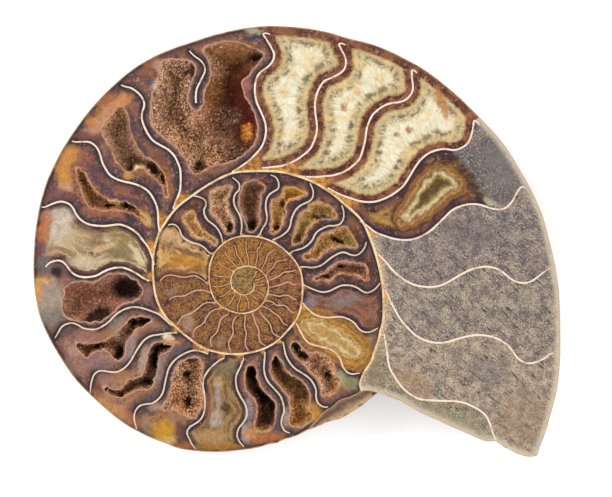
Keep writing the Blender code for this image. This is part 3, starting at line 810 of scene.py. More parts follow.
# Where the crystals have another colour: pixels, half sizes in pixels, angle, colour, how
# strongly it covers, and how sandy the crystals are there
CRYSTAL_STAINS = (
    (228, 92, 28, 48, 0, (122, 82, 56), 0.85, 0.1),
    (158, 95, 9, 36, 0, (214, 168, 142), 0.8, 0.9), (161, 72, 8, 10, 0, (226, 184, 154), 0.6, 0.8),
    (172, 78, 6, 3, 20, (240, 198, 128), 0.8, 0.8), (165, 103, 5, 5, 0, (226, 166, 84), 0.7, 0.9),
    (180, 66, 14, 8, 0, (170, 130, 102), 0.7, 1.0), (182, 98, 9, 22, 0, (112, 82, 70), 0.65, 0.9),
    (215, 62, 8, 22, 0, (160, 118, 90), 0.6, 0.8), (235, 54, 24, 10, -5, (160, 112, 70), 0.85, 0.1),
    (255, 58, 9, 8, 0, (76, 48, 34), 0.85, 0.2), (238, 74, 16, 16, 0, (112, 70, 52), 0.8, 0.1),
    (217, 94, 17, 16, 0, (128, 82, 50), 0.8, 0.2), (243, 106, 19, 36, 0, (78, 42, 30), 0.92, 0.0),
    (224, 119, 15, 13, 0, (126, 92, 76), 0.6, 0.7), (246, 132, 13, 16, 0, (98, 44, 28), 0.8, 0.0),
    (240, 151, 18, 10, 20, (62, 36, 30), 0.85, 0.2), (246, 131, 6, 7, 0, (236, 150, 20), 0.95, 0.5),
    (215, 152, 14, 8, 15, (104, 74, 60), 0.6, 0.8), (195, 148, 24, 14, -35, (186, 140, 88), 0.6, 1.0),
    (113, 124, 8, 12, 0, (162, 124, 90), 0.7, 0.8), (120, 111, 6, 8, 0, (150, 104, 66), 0.6, 0.6),
    (128, 132, 8, 22, 0, (122, 92, 76), 0.7, 0.4), (118, 150, 9, 12, 0, (136, 108, 84), 0.6, 0.4),
    (132, 162, 12, 7, 0, (92, 68, 50), 0.85, 0.3), (139, 169, 7, 4, 0, (246, 210, 160), 1.0, 0.0),
    (157, 169, 7, 3, -40, (190, 108, 34), 0.9, 0.2), (84, 182, 8, 12, -30, (118, 88, 66), 0.6, 0.4),
    (100, 201, 11, 7, 0, (116, 78, 54), 0.7, 0.3), (112, 202, 5, 4, 0, (226, 196, 138), 0.95, 0.0),
    (146, 219, 8, 4, -50, (214, 176, 100), 0.9, 0.2), (84, 294, 16, 14, 0, (148, 94, 74), 0.8, 0.3),
    (72, 306, 8, 12, 0, (136, 98, 74), 0.7, 0.5), (102, 289, 9, 9, 0, (146, 104, 82), 0.7, 0.5),
    (118, 338, 6, 5, 0, (190, 166, 150), 0.6, 0.9), (88, 354, 9, 5, 0, (134, 84, 62), 0.9, 0.2),
    (80, 346, 7, 4, 0, (146, 112, 88), 0.7, 1.0), (140, 384, 10, 4, -10, (124, 96, 66), 0.7, 0.9),
    (120, 393, 14, 5, 10, (140, 102, 62), 0.7, 0.6), (178, 382, 6, 20, 0, (214, 164, 116), 0.6, 1.0),
    (191, 386, 6, 22, 0, (134, 90, 66), 0.7, 0.9), (165, 408, 8, 4, 0, (226, 186, 152), 0.7, 0.8),
    (266, 412, 9, 14, 0, (58, 42, 38), 0.85, 0.1), (262, 431, 12, 4, 0, (204, 150, 100), 0.8, 0.8),
    (276, 364, 6, 8, 0, (66, 52, 24), 0.9, 0.1), (290, 380, 13, 9, -40, (88, 68, 46), 0.9, 0.1),
    (303, 392, 8, 12, 0, (80, 56, 40), 0.9, 0.1), (297, 414, 10, 11, 0, (206, 142, 70), 0.9, 1.0),
    (315, 362, 12, 9, -30, (204, 156, 130), 0.7, 1.0), (324, 388, 5, 6, 0, (228, 190, 154), 0.8, 0.6),
    (333, 388, 4, 4, 0, (146, 104, 46), 0.9, 0.4), (190, 231, 6, 5, 0, (232, 168, 138), 0.8, 0.4),
    (222, 197, 9, 8, 0, (214, 184, 132), 0.8, 0.9), (220, 212, 7, 8, 0, (236, 190, 158), 0.8, 0.9),
    (250, 195, 9, 13, 0, (116, 80, 66), 0.7, 0.4), (295, 192, 10, 4, 0, (226, 190, 88), 0.85, 0.5),
    (280, 214, 4, 11, 0, (214, 184, 110), 0.8, 0.6), (305, 224, 7, 9, 0, (186, 168, 112), 0.7, 0.5),
    (326, 216, 3, 2, 0, (246, 238, 214), 1.0, 0.0), (298, 240, 6, 4, 0, (88, 60, 38), 0.8, 0.3),
    (310, 255, 9, 4, 0, (226, 160, 98), 0.8, 0.8), (350, 240, 6, 7, 0, (156, 148, 88), 0.85, 0.2),
    (355, 270, 11, 5, 0, (146, 98, 84), 0.7, 0.6),
)
# Holes between the crystals that go deep: pixels, half sizes, angle. There the bowl goes deeper, and the
# crystals are painted near black, a painted shade
PITS = (
    (258, 56, 6, 4, 20), (193, 71, 5, 7, 0), (232, 161, 12, 3, 15), (198, 167, 7, 5, 45),
    (152, 167, 8, 5, -40), (163, 177, 3, 5, 0), (129, 169, 4, 4, 0), (128, 205, 8, 3, -15),
    (108, 206, 5, 2, 0), (126, 288, 15, 12, 0), (97, 316, 14, 6, 15), (146, 321, 8, 4, 10),
    (130, 322, 5, 5, 0), (118, 354, 5, 6, 0), (95, 346, 4, 3, 0), (76, 344, 3, 3, 0),
    (160, 347, 9, 2, 0), (153, 358, 4, 13, 0), (145, 384, 4, 3, 0), (119, 397, 4, 2, 0),
    (185, 376, 3, 4, 0), (186, 404, 3, 5, 0), (171, 412, 3, 2, 0), (190, 361, 6, 2, 0),
    (251, 375, 5, 11, 20), (262, 397, 10, 5, -45), (273, 408, 3, 7, 0), (275, 359, 3, 5, 0),
    (296, 347, 5, 6, 0), (303, 357, 5, 4, 0), (329, 377, 3, 5, 0), (230, 227, 3, 5, 0),
    (252, 226, 5, 5, 0), (277, 229, 3, 3, 0), (284, 208, 2, 8, 20), (341, 266, 4, 2, 0),
    (323, 277, 5, 2, 0), (322, 217, 9, 2, 0), (338, 241, 8, 2, -30),
)


def reach_of(places, x, y, half_x, half_y, angle):
    """How far each place lies from the middle of an ellipse, 1 on its edge."""
    rel = (places[:, :2] - on_face([(x, y)])[0]) / PIXEL
    turn = math.radians(angle)
    along = rel[:, 0] * math.cos(turn) + rel[:, 1] * math.sin(turn)
    off = -rel[:, 0] * math.sin(turn) + rel[:, 1] * math.cos(turn)
    return np.sqrt((along / half_x) ** 2 + (off / half_y) ** 2)


def shaken(places):
    """The places moved about a little, so that no stain has a smooth edge."""
    swing = np.column_stack([wander(places, 700, 11.0), wander(places, 700, 23.0)]) * 0.0006
    swing += np.column_stack([wander(places, 2300, 31.0), wander(places, 2300, 43.0)]) * 0.0003
    return places[:, :2] + swing


def pitted(places):
    """How far each place lies in a deep hole, from 0 to 1: it deepens the bowl there and paints shade on
    the crystals.
    """
    found = np.zeros(len(places))
    for pit in PITS:
        found = np.maximum(found, np.clip((1.35 - reach_of(places, *pit)) / 0.6, 0, 1))
    return found


def crystal_colour(places, shade, sandy):
    """The crystals' colour and sandiness at each place of one hollow."""
    colour = np.tile(tone(*shade), (len(places), 1))
    grain = np.full(len(places), sandy)
    for x, y, half_x, half_y, angle, stain, strength, stain_sandy in CRYSTAL_STAINS:
        share = strength * np.clip((1.4 - reach_of(places, x, y, half_x, half_y, angle)) / 0.7, 0, 1)
        colour += (np.array(tone(*stain)) - colour) * share[:, None]
        grain += (stain_sandy - grain) * share
    return colour, grain


def hollow_bottom(places, outline, depth):
    """How far down the crystals' feet lie at each place of one hollow."""
    inside, _ = inside_distance(places, outline)
    inside = np.clip(inside, 0, None)
    run = 0.8 * inside.max()
    bowl = np.sin(np.clip(inside / run, 0, 1) * math.pi / 2)
    lip = HOLLOW_LIP * np.clip(inside / 0.0003, 0, 1)
    rough = 1 + 0.25 * wander(places, 450, depth * 1000)
    down = lip + depth * bowl * rough * 0.8 + 0.0014 * pitted(places) * bowl
    return down, inside


def crystal(place, lean, size, height, chance):
    """A blunt four to six sided crystal with a pointed end, standing along lean."""
    lean = Vector(lean).normalized()
    side = lean.orthogonal().normalized()
    other = lean.cross(side)
    sides = chance.choice((4, 5, 6))
    turn = chance.random() * math.tau
    foot, shoulder = [], []
    for k in range(sides):
        angle = turn + math.tau * k / sides
        reach = size * (0.85 + 0.3 * chance.random())
        out = side * math.cos(angle) * reach + other * math.sin(angle) * reach
        foot.append(Vector(place) + out * 0.9 - lean * size * 0.8)
        shoulder.append(Vector(place) + out + lean * height * (0.35 + 0.25 * chance.random()))
    tip = Vector(place) + lean * height + side * size * (chance.random() - 0.5) * 0.8
    points = foot + shoulder + [tip]
    faces = []
    for k in range(sides):
        after = (k + 1) % sides
        faces.append((k, after, after + sides, k + sides))
        faces.append((k + sides, after + sides, 2 * sides))
    return points, faces


druse = Finish("brown_druse", 0.6)
base, grain = druse.carried("base", "Color"), druse.carried("grain")
grit, coarse_grit = druse.cells(3300, "Color"), druse.cells(1500, "Color")
druse.colour(druse.layered(
    base,
    (druse.darkened(base, (190, 160, 140)), (druse.noise(900, 4), 0.42, 0.62, 0.0, 0.5)),
    ((232, 156, 84), (coarse_grit, 0.62, 0.68, 0.0, druse.maths("MULTIPLY", grain, 0.5))),
    ((78, 50, 38), (grit, 0.4, 0.5, druse.maths("MULTIPLY", grain, 0.75), 0.0)),
    # Pale specks are paler crystals brightened with a little painted highlight, and the whitest specks
    # are painted glints on the facets
    ((252, 216, 178), (grit, 0.62, 0.68, 0.0, druse.maths("MULTIPLY", grain, 0.6))),
    ((255, 238, 204), (grit, 0.8, 0.83, 0.0, grain)),
    # Painted shade: the crystals darken the further down the hollow they lie, and turn near black in the
    # deep holes
    ((70, 46, 38), druse.carried("painted_depth_shade")),
    ((42, 27, 23), druse.carried("pit")),
))
druse.shader.inputs["Specular IOR Level"].default_value = 0.14
druse.bump(druse.noise(5200, 3), 0.00008, 0.6)

chance = random.Random(11)
for index, ((depth, size, shade, sandy, _), outline) in enumerate(zip(HOLLOWS, hollow_outlines), start=1):
    low, high = outline.min(0) - GRID_STEP, outline.max(0) + GRID_STEP
    xs = np.arange(low[0], high[0] + GRID_STEP, GRID_STEP)
    ys = np.arange(low[1], high[1] + GRID_STEP, GRID_STEP)
    grid = np.array([(x + 0.5 * GRID_STEP * (row % 2), y) for row, y in enumerate(ys) for x in xs])
    inside, nearest = inside_distance(grid, outline)
    keep = inside > 0
    quads = []
    for row in range(len(ys) - 1):
        for column in range(len(xs) - 1):
            a = row * len(xs) + column
            b, c, d = a + 1, a + len(xs), a + len(xs) + 1
            pairs = ((a, b, d), (a, d, c)) if row % 2 else ((a, b, c), (b, d, c))
            quads += [t for t in pairs if keep[list(t)].any()]
    used = np.unique(np.array(quads))
    renumber = {int(old): new for new, old in enumerate(used)}
    places = np.where(keep[used, None], grid[used], nearest[used])
    faces = [tuple(renumber[int(i)] for i in t) for t in quads]
    down, gap = hollow_bottom(places, outline, depth)
    moved = shaken(places)
    colour, grain = crystal_colour(moved, shade, sandy)
    # Less light falls into a narrow, deep hollow
    colour *= np.clip(1.35 + 0.6 * (depth / gap.max() - 1), 1.35, 2.4)
    pit = pitted(moved)
    shake = np.array([chance.uniform(-1, 1) for _ in range(len(places))])
    down = np.where(gap > 1e-7, down + 0.0001 * shake, 0.0)
    points = np.column_stack([places, FACE - down])
    # Crystals stand on the bowl, close together, and lean every way
    count = int(len(faces) * (GRID_STEP / size) ** 2 * 1.6)
    crystal_points, crystal_faces, stands_on = [], [], []
    for _ in range(count):
        face = chance.choice(faces)
        corners = points[list(face)]
        middle = corners.mean(0)
        if FACE - middle[2] < 0.0006 or chance.random() > 0.1 + 0.9 * grain[face[0]]:
            continue
        normal = np.cross(corners[1] - corners[0], corners[2] - corners[0])
        normal = normal / max(np.linalg.norm(normal), 1e-15)
        lean = normal + np.array([chance.uniform(-0.5, 0.5) for _ in range(3)])
        lean[2] = abs(lean[2])
        half = size * chance.uniform(0.28, 0.62)
        height = min(half * chance.uniform(0.7, 1.6), (FACE - middle[2]) * 0.8)
        some_points, some_faces = crystal(middle, lean, half, height, chance)
        start = len(points) + len(crystal_points)
        crystal_points += [tuple(p) for p in some_points]
        crystal_faces += [tuple(i + start for i in face) for face in some_faces]
        stands_on += [face[0]] * len(some_points)
    feet = np.r_[np.arange(len(points)), np.array(stands_on, int)]
    points = np.vstack([points, np.array(crystal_points)])
    points[:, 2] = np.minimum(points[:, 2], FACE)
    faces += crystal_faces
    carried = {
        "base": colour[feet],
        "grain": grain[feet],
        # The next two values paint shade into the crystals: near black in the deep holes, and darker the
        # further down they lie
        "pit": 0.9 * pit[feet],
        "painted_depth_shade": 0.25 * np.clip((FACE - points[:, 2]) / (depth + HOLLOW_LIP), 0, 1) ** 1.5,
    }
    piece = make_piece(f"crystal_lining_{index:02d}", points, faces, druse, carried, smooth=False,
                       node=f"crystal_crust_{index:02d}")

# THE POLISHED FACE
# Chamber by chamber from the mouth in to the middle: grey mud that hardened in the body
# chamber, white calcite and agate in the next, then dark brown linings round the hollows and
# amber in the small inner chambers. Sawn flat, then polished.
GREY, CALCITE, AGATE, LINED, AMBER = range(5)
# Name, kind, width of the lining in mm, colours of the lining and of the fill, and how wide the
# wedge of amber is where the inner septum meets the spiral, in mm
CHAMBERS = (
    ("m5", GREY, 0.2, (120, 110, 95), (184, 172, 144), (140, 124, 100), 0.0),
    ("m4", GREY, 0.2, (120, 110, 100), (210, 188, 160), (150, 134, 120), 1.2),
    ("m3", GREY, 0.2, (110, 102, 98), (190, 174, 154), (128, 116, 112), 1.4),
    ("m2", GREY, 0.2, (104, 94, 96), (176, 158, 146), (116, 106, 110), 1.8),
    ("a1", AGATE, 2.1, (78, 48, 42), (176, 132, 76), (106, 68, 42), 2.6),
    ("w3", CALCITE, 1.5, (98, 54, 44), (222, 212, 184), (150, 140, 108), 3.4),
    ("w2", CALCITE, 1.5, (98, 54, 44), (220, 212, 186), (148, 140, 106), 3.4),
    ("w1", CALCITE, 1.6, (108, 66, 54), (220, 210, 182), (146, 138, 104), 3.6),
    ("c1", LINED, 2.6, (116, 82, 80), (154, 102, 80), (124, 78, 62), 2.6),
    ("c2", LINED, 2.2, (108, 80, 80), (154, 104, 76), (122, 76, 58), 2.6),
    ("c3", LINED, 2.2, (110, 78, 78), (162, 108, 82), (126, 82, 66), 2.6),
    ("c4", AGATE, 1.3, (112, 68, 56), (210, 182, 142), (150, 120, 88), 2.4),
    ("c5", LINED, 1.9, (126, 90, 84), (146, 96, 76), (120, 78, 66), 1.6),
    ("c6", LINED, 1.8, (138, 104, 92), (166, 126, 112), (142, 102, 90), 1.6),
    ("c7", LINED, 1.8, (134, 100, 88), (168, 124, 102), (136, 94, 80), 1.6),
    ("c8", LINED, 1.6, (128, 92, 74), (172, 126, 86), (140, 94, 62), 1.6),
    ("c9", AGATE, 1.0, (118, 82, 58), (160, 128, 82), (120, 88, 56), 2.2),
    ("c10", LINED, 1.7, (134, 100, 88), (168, 116, 84), (138, 88, 62), 1.4),
    ("c11", LINED, 1.6, (126, 92, 78), (180, 128, 80), (142, 94, 60), 1.4),
    ("c12", LINED, 1.6, (112, 84, 74), (168, 120, 78), (134, 90, 60), 1.4),
    ("c13", AGATE, 0.9, (112, 66, 44), (206, 156, 78), (160, 106, 46), 1.6),
    ("c14", AGATE, 1.0, (100, 62, 54), (146, 98, 78), (116, 72, 58), 1.4),
    ("h7", LINED, 1.7, (82, 58, 58), (112, 70, 58), (88, 52, 44), 1.0),
    ("h6", LINED, 1.5, (80, 54, 52), (120, 76, 54), (92, 54, 42), 1.0),
    ("h5", LINED, 1.5, (78, 52, 50), (118, 74, 50), (90, 52, 40), 1.0),
    ("h4", LINED, 1.5, (80, 52, 50), (120, 72, 48), (92, 54, 40), 1.0),
    ("h3", LINED, 1.5, (72, 46, 44), (108, 66, 50), (84, 50, 40), 1.0),
    ("h2", LINED, 1.5, (68, 44, 42), (106, 66, 48), (84, 48, 38), 1.0),
    ("h1", LINED, 1.4, (68, 44, 38), (118, 72, 42), (96, 54, 34), 0.9),
    ("g1", AGATE, 0.5, (112, 68, 42), (218, 170, 108), (146, 94, 48), 0.8),
)
# Further in than these the fill is amber, which turns to gold from here on, over so many chambers
GOLD_FROM, GOLD_OVER = 11, 6

# Where the face has another colour: pixels, half sizes in pixels, angle, colour, how strongly
FACE_STAINS = (
    (244, 86, 6, 7, -30, (186, 118, 106), 0.85), (205, 36, 20, 5, 15, (130, 84, 86), 0.5),
    (170, 52, 16, 5, 20, (126, 78, 80), 0.5), (150, 63, 7, 5, 30, (170, 108, 70), 0.8),
    (254, 37, 9, 3, 0, (62, 72, 86), 0.95), (253, 31, 8, 3, 0, (196, 186, 156), 0.9),
    (150, 82, 5, 4, 0, (96, 90, 100), 0.9), (157, 85, 7, 4, 30, (214, 200, 184), 0.9),
    (157, 64, 4, 6, 0, (206, 162, 142), 0.7), (122, 101, 10, 6, 30, (228, 156, 100), 0.9),
    (105, 103, 10, 6, 50, (196, 124, 72), 0.8), (95, 120, 10, 7, 50, (220, 150, 80), 0.9),
    (93, 113, 5, 3, 0, (124, 74, 78), 0.8), (107, 112, 6, 10, -40, (224, 164, 124), 0.8),
    (104, 125, 8, 6, 0, (218, 168, 134), 0.8), (92, 131, 8, 3, 0, (212, 162, 136), 0.8),
    (84, 136, 10, 3, 0, (140, 90, 80), 0.7), (100, 140, 8, 5, 0, (108, 78, 72), 0.7),
    (105, 150, 5, 8, 0, (172, 130, 104), 0.7), (108, 162, 5, 10, 0, (112, 80, 84), 0.7),
    (128, 176, 6, 4, 0, (224, 156, 78), 0.95), (134, 112, 5, 8, 0, (176, 110, 94), 0.6),
    (160, 160, 8, 4, -35, (124, 78, 62), 0.7), (169, 185, 4, 14, 0, (176, 114, 62), 0.8),
    (131, 124, 4.5, 15, 12, (86, 72, 86), 0.9), (142, 151, 4.5, 14, 34, (84, 70, 84), 0.9),
    (157, 178, 4.5, 13, 22, (92, 72, 76), 0.8), (93, 173, 4.5, 11, 22, (90, 76, 90), 0.9),
    (106, 190, 4.5, 12, 48, (84, 70, 84), 0.9), (129, 201, 15, 4.5, -15, (88, 70, 82), 0.85),
    (70, 156, 10, 8, 40, (228, 158, 84), 0.9), (63, 173, 7, 12, 10, (232, 162, 74), 0.9),
    (66, 187, 7, 5, 0, (224, 170, 134), 0.9), (80, 162, 5, 9, 0, (152, 102, 88), 0.6),
    (60, 196, 12, 6, 0, (128, 88, 90), 0.7), (110, 213, 18, 4, 0, (170, 108, 80), 0.7),
    (132, 215, 8, 8, 0, (66, 58, 62), 0.9), (146, 219, 10, 4, -50, (212, 172, 100), 0.95),
    (60, 218, 13, 9, 0, (224, 208, 194), 0.9), (60, 235, 11, 8, 0, (222, 206, 188), 0.8),
    (48, 218, 5, 10, 0, (196, 146, 118), 0.8), (44, 230, 6, 16, -5, (204, 124, 84), 0.9),
    (41, 250, 5, 9, 0, (126, 86, 90), 0.9), (52, 251, 8, 6, 0, (168, 130, 112), 0.6),
    (78, 240, 14, 8, 0, (200, 176, 136), 0.7), (84, 228, 9, 4, -20, (142, 112, 90), 0.7),
    (98, 240, 12, 4, 10, (150, 122, 84), 0.75), (112, 228, 10, 3, -10, (128, 100, 64), 0.6),
    (108, 238, 5, 4, -30, (220, 210, 196), 0.7), (120, 238, 14, 7, -25, (156, 136, 80), 0.8),
    (120, 252, 14, 7, 0, (146, 130, 90), 0.85), (137, 254, 11, 3, -62, (236, 222, 178), 0.95),
    (85, 262, 16, 6, 0, (224, 204, 168), 0.85), (102, 247, 10, 2.5, 10, (238, 200, 136), 0.8),
    # First stain on the next line: a small pit in the face painted dark brown, a painted shade
    (92, 253.5, 2.6, 2.4, 0, (70, 44, 24), 1.0), (76, 224, 6, 5, -40, (128, 96, 72), 0.6),
    (45, 264, 9, 7, -40, (126, 122, 116), 0.95), (57, 272, 9, 8, 0, (134, 98, 96), 0.7),
    (50, 300, 15, 21, 0, (182, 164, 146), 1.0), (56, 314, 9, 8, 0, (134, 128, 118), 0.7),
    (45, 318, 6, 9, -25, (150, 142, 128), 0.6), (38, 290, 4, 12, 5, (232, 172, 92), 1.0),
    # Second stain on the next line: a small round hole painted as a near black disc, a painted shade
    (44, 281, 7, 3, 0, (238, 182, 118), 0.9), (57, 272, 5.5, 4.8, 0, (44, 30, 30), 1.0),
    (148, 292, 4, 9, 0, (156, 116, 102), 0.8), (72, 333, 10, 5, 0, (104, 84, 90), 0.8),
    (88, 335, 12, 6, 0, (176, 122, 104), 0.8), (118, 326, 10, 7, 40, (164, 144, 130), 0.7),
    (108, 334, 8, 4, 40, (168, 118, 82), 0.7), (74, 351, 7, 6, 0, (194, 154, 134), 0.7),
    (97, 364, 14, 5, -15, (154, 118, 118), 0.7), (131, 346, 4, 14, -20, (170, 150, 146), 0.8),
    (70, 367, 10, 7, -50, (166, 130, 112), 0.6), (143, 362, 4, 15, -12, (194, 170, 150), 0.8),
    (105, 380, 7, 6, 0, (174, 128, 118), 0.7), (121, 376, 10, 6, 0, (194, 134, 98), 0.8),
    (97, 391, 5, 8, 0, (124, 64, 54), 0.8), (112, 407, 20, 6, -38, (208, 148, 96), 0.95),
    (133, 420, 12, 5, -35, (176, 118, 86), 0.8), (168, 337, 6, 3, 0, (255, 238, 200), 1.0),
    (172, 342, 7, 2.5, -15, (226, 168, 112), 0.9), (160, 368, 4, 14, -10, (160, 140, 144), 0.7),
    (150, 396, 10, 5, 25, (98, 80, 84), 0.7), (177, 350, 8, 5, 20, (98, 94, 104), 0.7),
    (133, 394, 12, 3, 10, (170, 118, 66), 0.8), (148, 412, 8, 4, 0, (88, 72, 82), 0.8),
    (146, 423, 5, 8, 0, (172, 138, 110), 0.8), (148, 431, 6, 4, 0, (128, 122, 106), 0.9),
    (163, 431, 11, 10, 35, (214, 158, 34), 1.0), (168, 441, 7, 4, 0, (228, 192, 112), 0.95),
    (157, 407, 8, 4, 0, (204, 164, 138), 0.7), (177, 416, 9, 6, 0, (168, 128, 102), 0.8),
    (182, 434, 6, 12, 20, (98, 66, 68), 0.8), (178, 446, 14, 3.5, 0, (178, 114, 62), 0.9),
    (218, 382, 5, 5, 0, (206, 172, 124), 1.0), (218, 398, 2.5, 14, 0, (188, 168, 158), 0.85),
    (216, 419, 6, 8, 0, (204, 190, 170), 0.7), (226, 408, 4, 6, 20, (86, 60, 26), 0.95),
    (225, 369, 12, 6, 0, (132, 120, 94), 0.8), (212, 437, 16, 7, 0, (198, 154, 104), 0.85),
    (218, 447, 22, 3.5, 0, (184, 128, 52), 0.9), (208, 406, 3, 14, 0, (156, 98, 70), 0.8),
    (249, 408, 4, 12, 0, (168, 152, 158), 0.8), (246, 432, 4, 9, 0, (200, 176, 168), 0.8),
    (251, 434, 6, 4, 0, (226, 154, 84), 0.9), (268, 438, 16, 4, 12, (194, 118, 62), 0.95),
    (276, 424, 5, 10, 0, (104, 82, 94), 0.7), (286, 418, 3, 10, 0, (188, 168, 158), 0.8),
    (312, 412, 10, 8, -20, (208, 148, 62), 0.95), (328, 421, 14, 4, 20, (208, 184, 154), 0.9),
    (339, 379, 8, 8, 0, (168, 166, 128), 0.9), (351, 384, 8, 6, 0, (152, 150, 112), 0.9),
    (337, 340, 24, 6, -38, (234, 216, 182), 1.0), (318, 331, 8, 4, -40, (224, 200, 150), 0.9),
    (345, 300, 16, 6, 10, (148, 140, 138), 0.6), (312, 302, 6, 5, 0, (150, 144, 144), 0.7),
    (332, 306, 9, 3, 0, (150, 130, 104), 0.7), (180, 245, 21, 8, -22, (214, 176, 132), 0.7),
    (188, 261, 20, 5, -8, (206, 150, 58), 0.85), (168, 235, 7, 6, 0, (224, 180, 136), 0.7),
    (186, 252, 20, 2.5, -18, (112, 70, 38), 0.75), (172, 243, 2.5, 1.8, 0, (84, 54, 32), 0.9),
    (183, 241, 2.5, 1.8, 30, (84, 54, 32), 0.9), (192, 247, 3, 1.6, 0, (92, 58, 34), 0.9),
    (201, 251, 2.5, 2, 0, (84, 54, 32), 0.9), (178, 249, 2, 1.6, 0, (92, 58, 34), 0.9),
    (176, 262, 8, 4, 0, (196, 128, 48), 0.7), (200, 270, 9, 4, -20, (126, 80, 44), 0.7),
    (172, 274, 18, 6, -5, (122, 78, 58), 0.8),
    (442, 103, 4, 16, 20, (206, 140, 76), 0.9),
    (344, 107, 3, 4, 30, (196, 130, 40), 0.95), (397, 135, 3, 3, 0, (178, 124, 50), 0.9),
    (409, 130, 3, 3, 0, (178, 124, 50), 0.9), (293, 76, 4, 3, 0, (244, 204, 142), 0.9),
    (284, 93, 6, 3, 0, (244, 204, 142), 0.9), (357, 91, 5, 4, -30, (246, 206, 144), 0.9),
    (350, 100, 4, 3, 0, (246, 206, 144), 0.8), (315, 60, 7, 4, 0, (244, 214, 164), 0.7),
    (380, 78, 5, 4, 0, (244, 206, 140), 0.8), (450, 420, 36, 9, -24, (166, 158, 126), 0.7),
    (373, 360, 8, 28, 0, (150, 126, 100), 0.6),
    (414, 382, 20, 10, -30, (182, 150, 116), 0.6), (526, 418, 26, 26, -40, (176, 146, 118), 0.55),
    (487, 372, 22, 12, -20, (132, 122, 122), 0.5), (470, 232, 30, 14, -10, (124, 112, 112), 0.5),
    (384, 220, 12, 4, -8, (190, 150, 74), 0.85), (463, 187, 9, 5, -30, (168, 118, 66), 0.8),
    (470, 181, 26, 5, -58, (50, 44, 50), 0.85), (504, 165, 24, 19, -50, (136, 126, 124), 0.85),
    (492, 203, 9, 3, -25, (190, 186, 152), 0.95), (448, 160, 10, 4, 0, (60, 42, 40), 0.8),
    (188, 322, 6, 8, 0, (186, 156, 132), 0.7),
    (172, 292, 6, 4, 0, (164, 132, 116), 0.6), (221, 341, 5, 5, 0, (172, 144, 116), 0.6),
)
# Fills that settled in layers round a pocket: its outline, then how far out in pixels each
# layer lies and its colour
POCKETS = (
    (((404, 219), (413, 204), (423, 186), (432, 177), (442, 174), (452, 180), (456, 187),
      (445, 191), (432, 203), (418, 214)),
     (-5.0, -2.4, -0.6, 1.2, 3.2, 5.4, 7.4, 9.5, 12.0),
     ((98, 78, 42), (178, 152, 88), (240, 222, 178), (206, 176, 128), (124, 90, 52),
      (206, 160, 90), (128, 84, 46), (166, 116, 64), (82, 50, 42))),
    (((306, 322), (318, 322), (332, 328), (346, 337), (358, 348), (360, 356), (352, 357),
      (338, 349), (324, 341), (310, 332)),
     (-3.5, -1.5, 0.5, 2.5, 4.5, 7.0, 9.5, 12.0),
     ((198, 160, 96), (244, 222, 172), (172, 128, 66), (232, 194, 118), (150, 102, 46),
      (214, 160, 76), (146, 96, 42), (186, 130, 60))),
)
POCKET_FADE = 2.5
POCKET_REACH = 0.012
# Right of this line the agate chamber beside the mud is grey as well
AGATE_END_PX = ((446, 146), (460, 160), (471, 172), (479, 186), (484, 198), (494, 212))
AFTER_AGATE = {"core": (124, 114, 112), "tint": (104, 98, 102)}


def stained(places):
    """The colour of the stains at each place, and how much it covers."""
    colour = np.zeros((len(places), 3))
    cover = np.zeros(len(places))
    for x, y, half_x, half_y, angle, stain, strength in FACE_STAINS:
        share = np.clip((1.5 - reach_of(places, x, y, half_x, half_y, angle)) / 0.9, 0, 1)
        share = strength * share * share * (3 - 2 * share)
        colour += (np.array(tone(*stain)) - colour) * share[:, None]
        cover += (1 - cover) * share
    for outline_px, reaches, shades in POCKETS:
        outline = smooth_curve(on_face(outline_px), OUTLINE_STEP, closed=True)
        near = np.flatnonzero(np.linalg.norm(places - outline.mean(0), axis=1) < POCKET_REACH)
        out = -inside_distance(places[near], outline)[0] / PIXEL
        layer = np.column_stack([np.interp(out, reaches, part)
                                 for part in np.array([tone(*shade) for shade in shades]).T])
        share = np.clip((reaches[-1] + POCKET_FADE - out) / POCKET_FADE, 0, 1)
        colour[near] += (layer - colour[near]) * share[:, None]
        cover[near] += (1 - cover[near]) * share
    return colour / np.maximum(cover, 1e-6)[:, None], cover


def beside(curve, points):
    """The points of a curve that lie as far along it, in X, as the given points along theirs."""
    share = (points[:, 0] - points[0, 0]) / (points[-1, 0] - points[0, 0])
    x = curve[0, 0] + share * (curve[-1, 0] - curve[0, 0])
    return np.column_stack([x, np.interp(x, curve[:, 0], curve[:, 1])])


def patch_points(a, b, inner, outer, cell):
    """A grid of points that fills the chamber between two septa and two stretches of wall."""
    rows = max(4, math.ceil(max(length_of(a), length_of(b)) / cell))
    columns = max(4, math.ceil(max(length_of(inner), length_of(outer)) / cell))
    b = evenly(b, rows)
    a = beside(a, b) if a is break_curve else evenly(a, rows)
    inner, outer = evenly(inner, columns), evenly(outer, columns)
    u = np.linspace(0, 1, rows)[:, None, None]
    v = np.linspace(0, 1, columns)[None, :, None]
    # The walls' bends are felt close to them only, or the grid would fold over a septum
    inner_bend = inner[None] - (1 - v) * a[0] - v * b[0]
    outer_bend = outer[None] - (1 - v) * a[-1] - v * b[-1]
    grid = (1 - v) * a[:, None] + v * b[:, None] + (1 - u) ** 8 * inner_bend + u ** 8 * outer_bend
    return grid.reshape(-1, 2), rows, columns


BREAK_PX = (
    (496, 441), (488, 441.5), (480, 439.4), (465, 432.5), (450, 426), (435, 419), (420, 412.5),
    (409, 406), (400, 400.5), (389, 396), (378, 393), (370, 391), (362, 391),
)
break_curve = smooth_curve(on_face(BREAK_PX), SEPTUM_STEP)[::-1]
mouth = (break_curve, break_curve, wall_index(break_curve[0]), 0)
bounds_in_order = [mouth] + list(septa.values())
agate_end = on_face(AGATE_END_PX)
broken_septum = smooth_curve(on_face(BROKEN_SEPTUM_PX), SEPTUM_STEP)

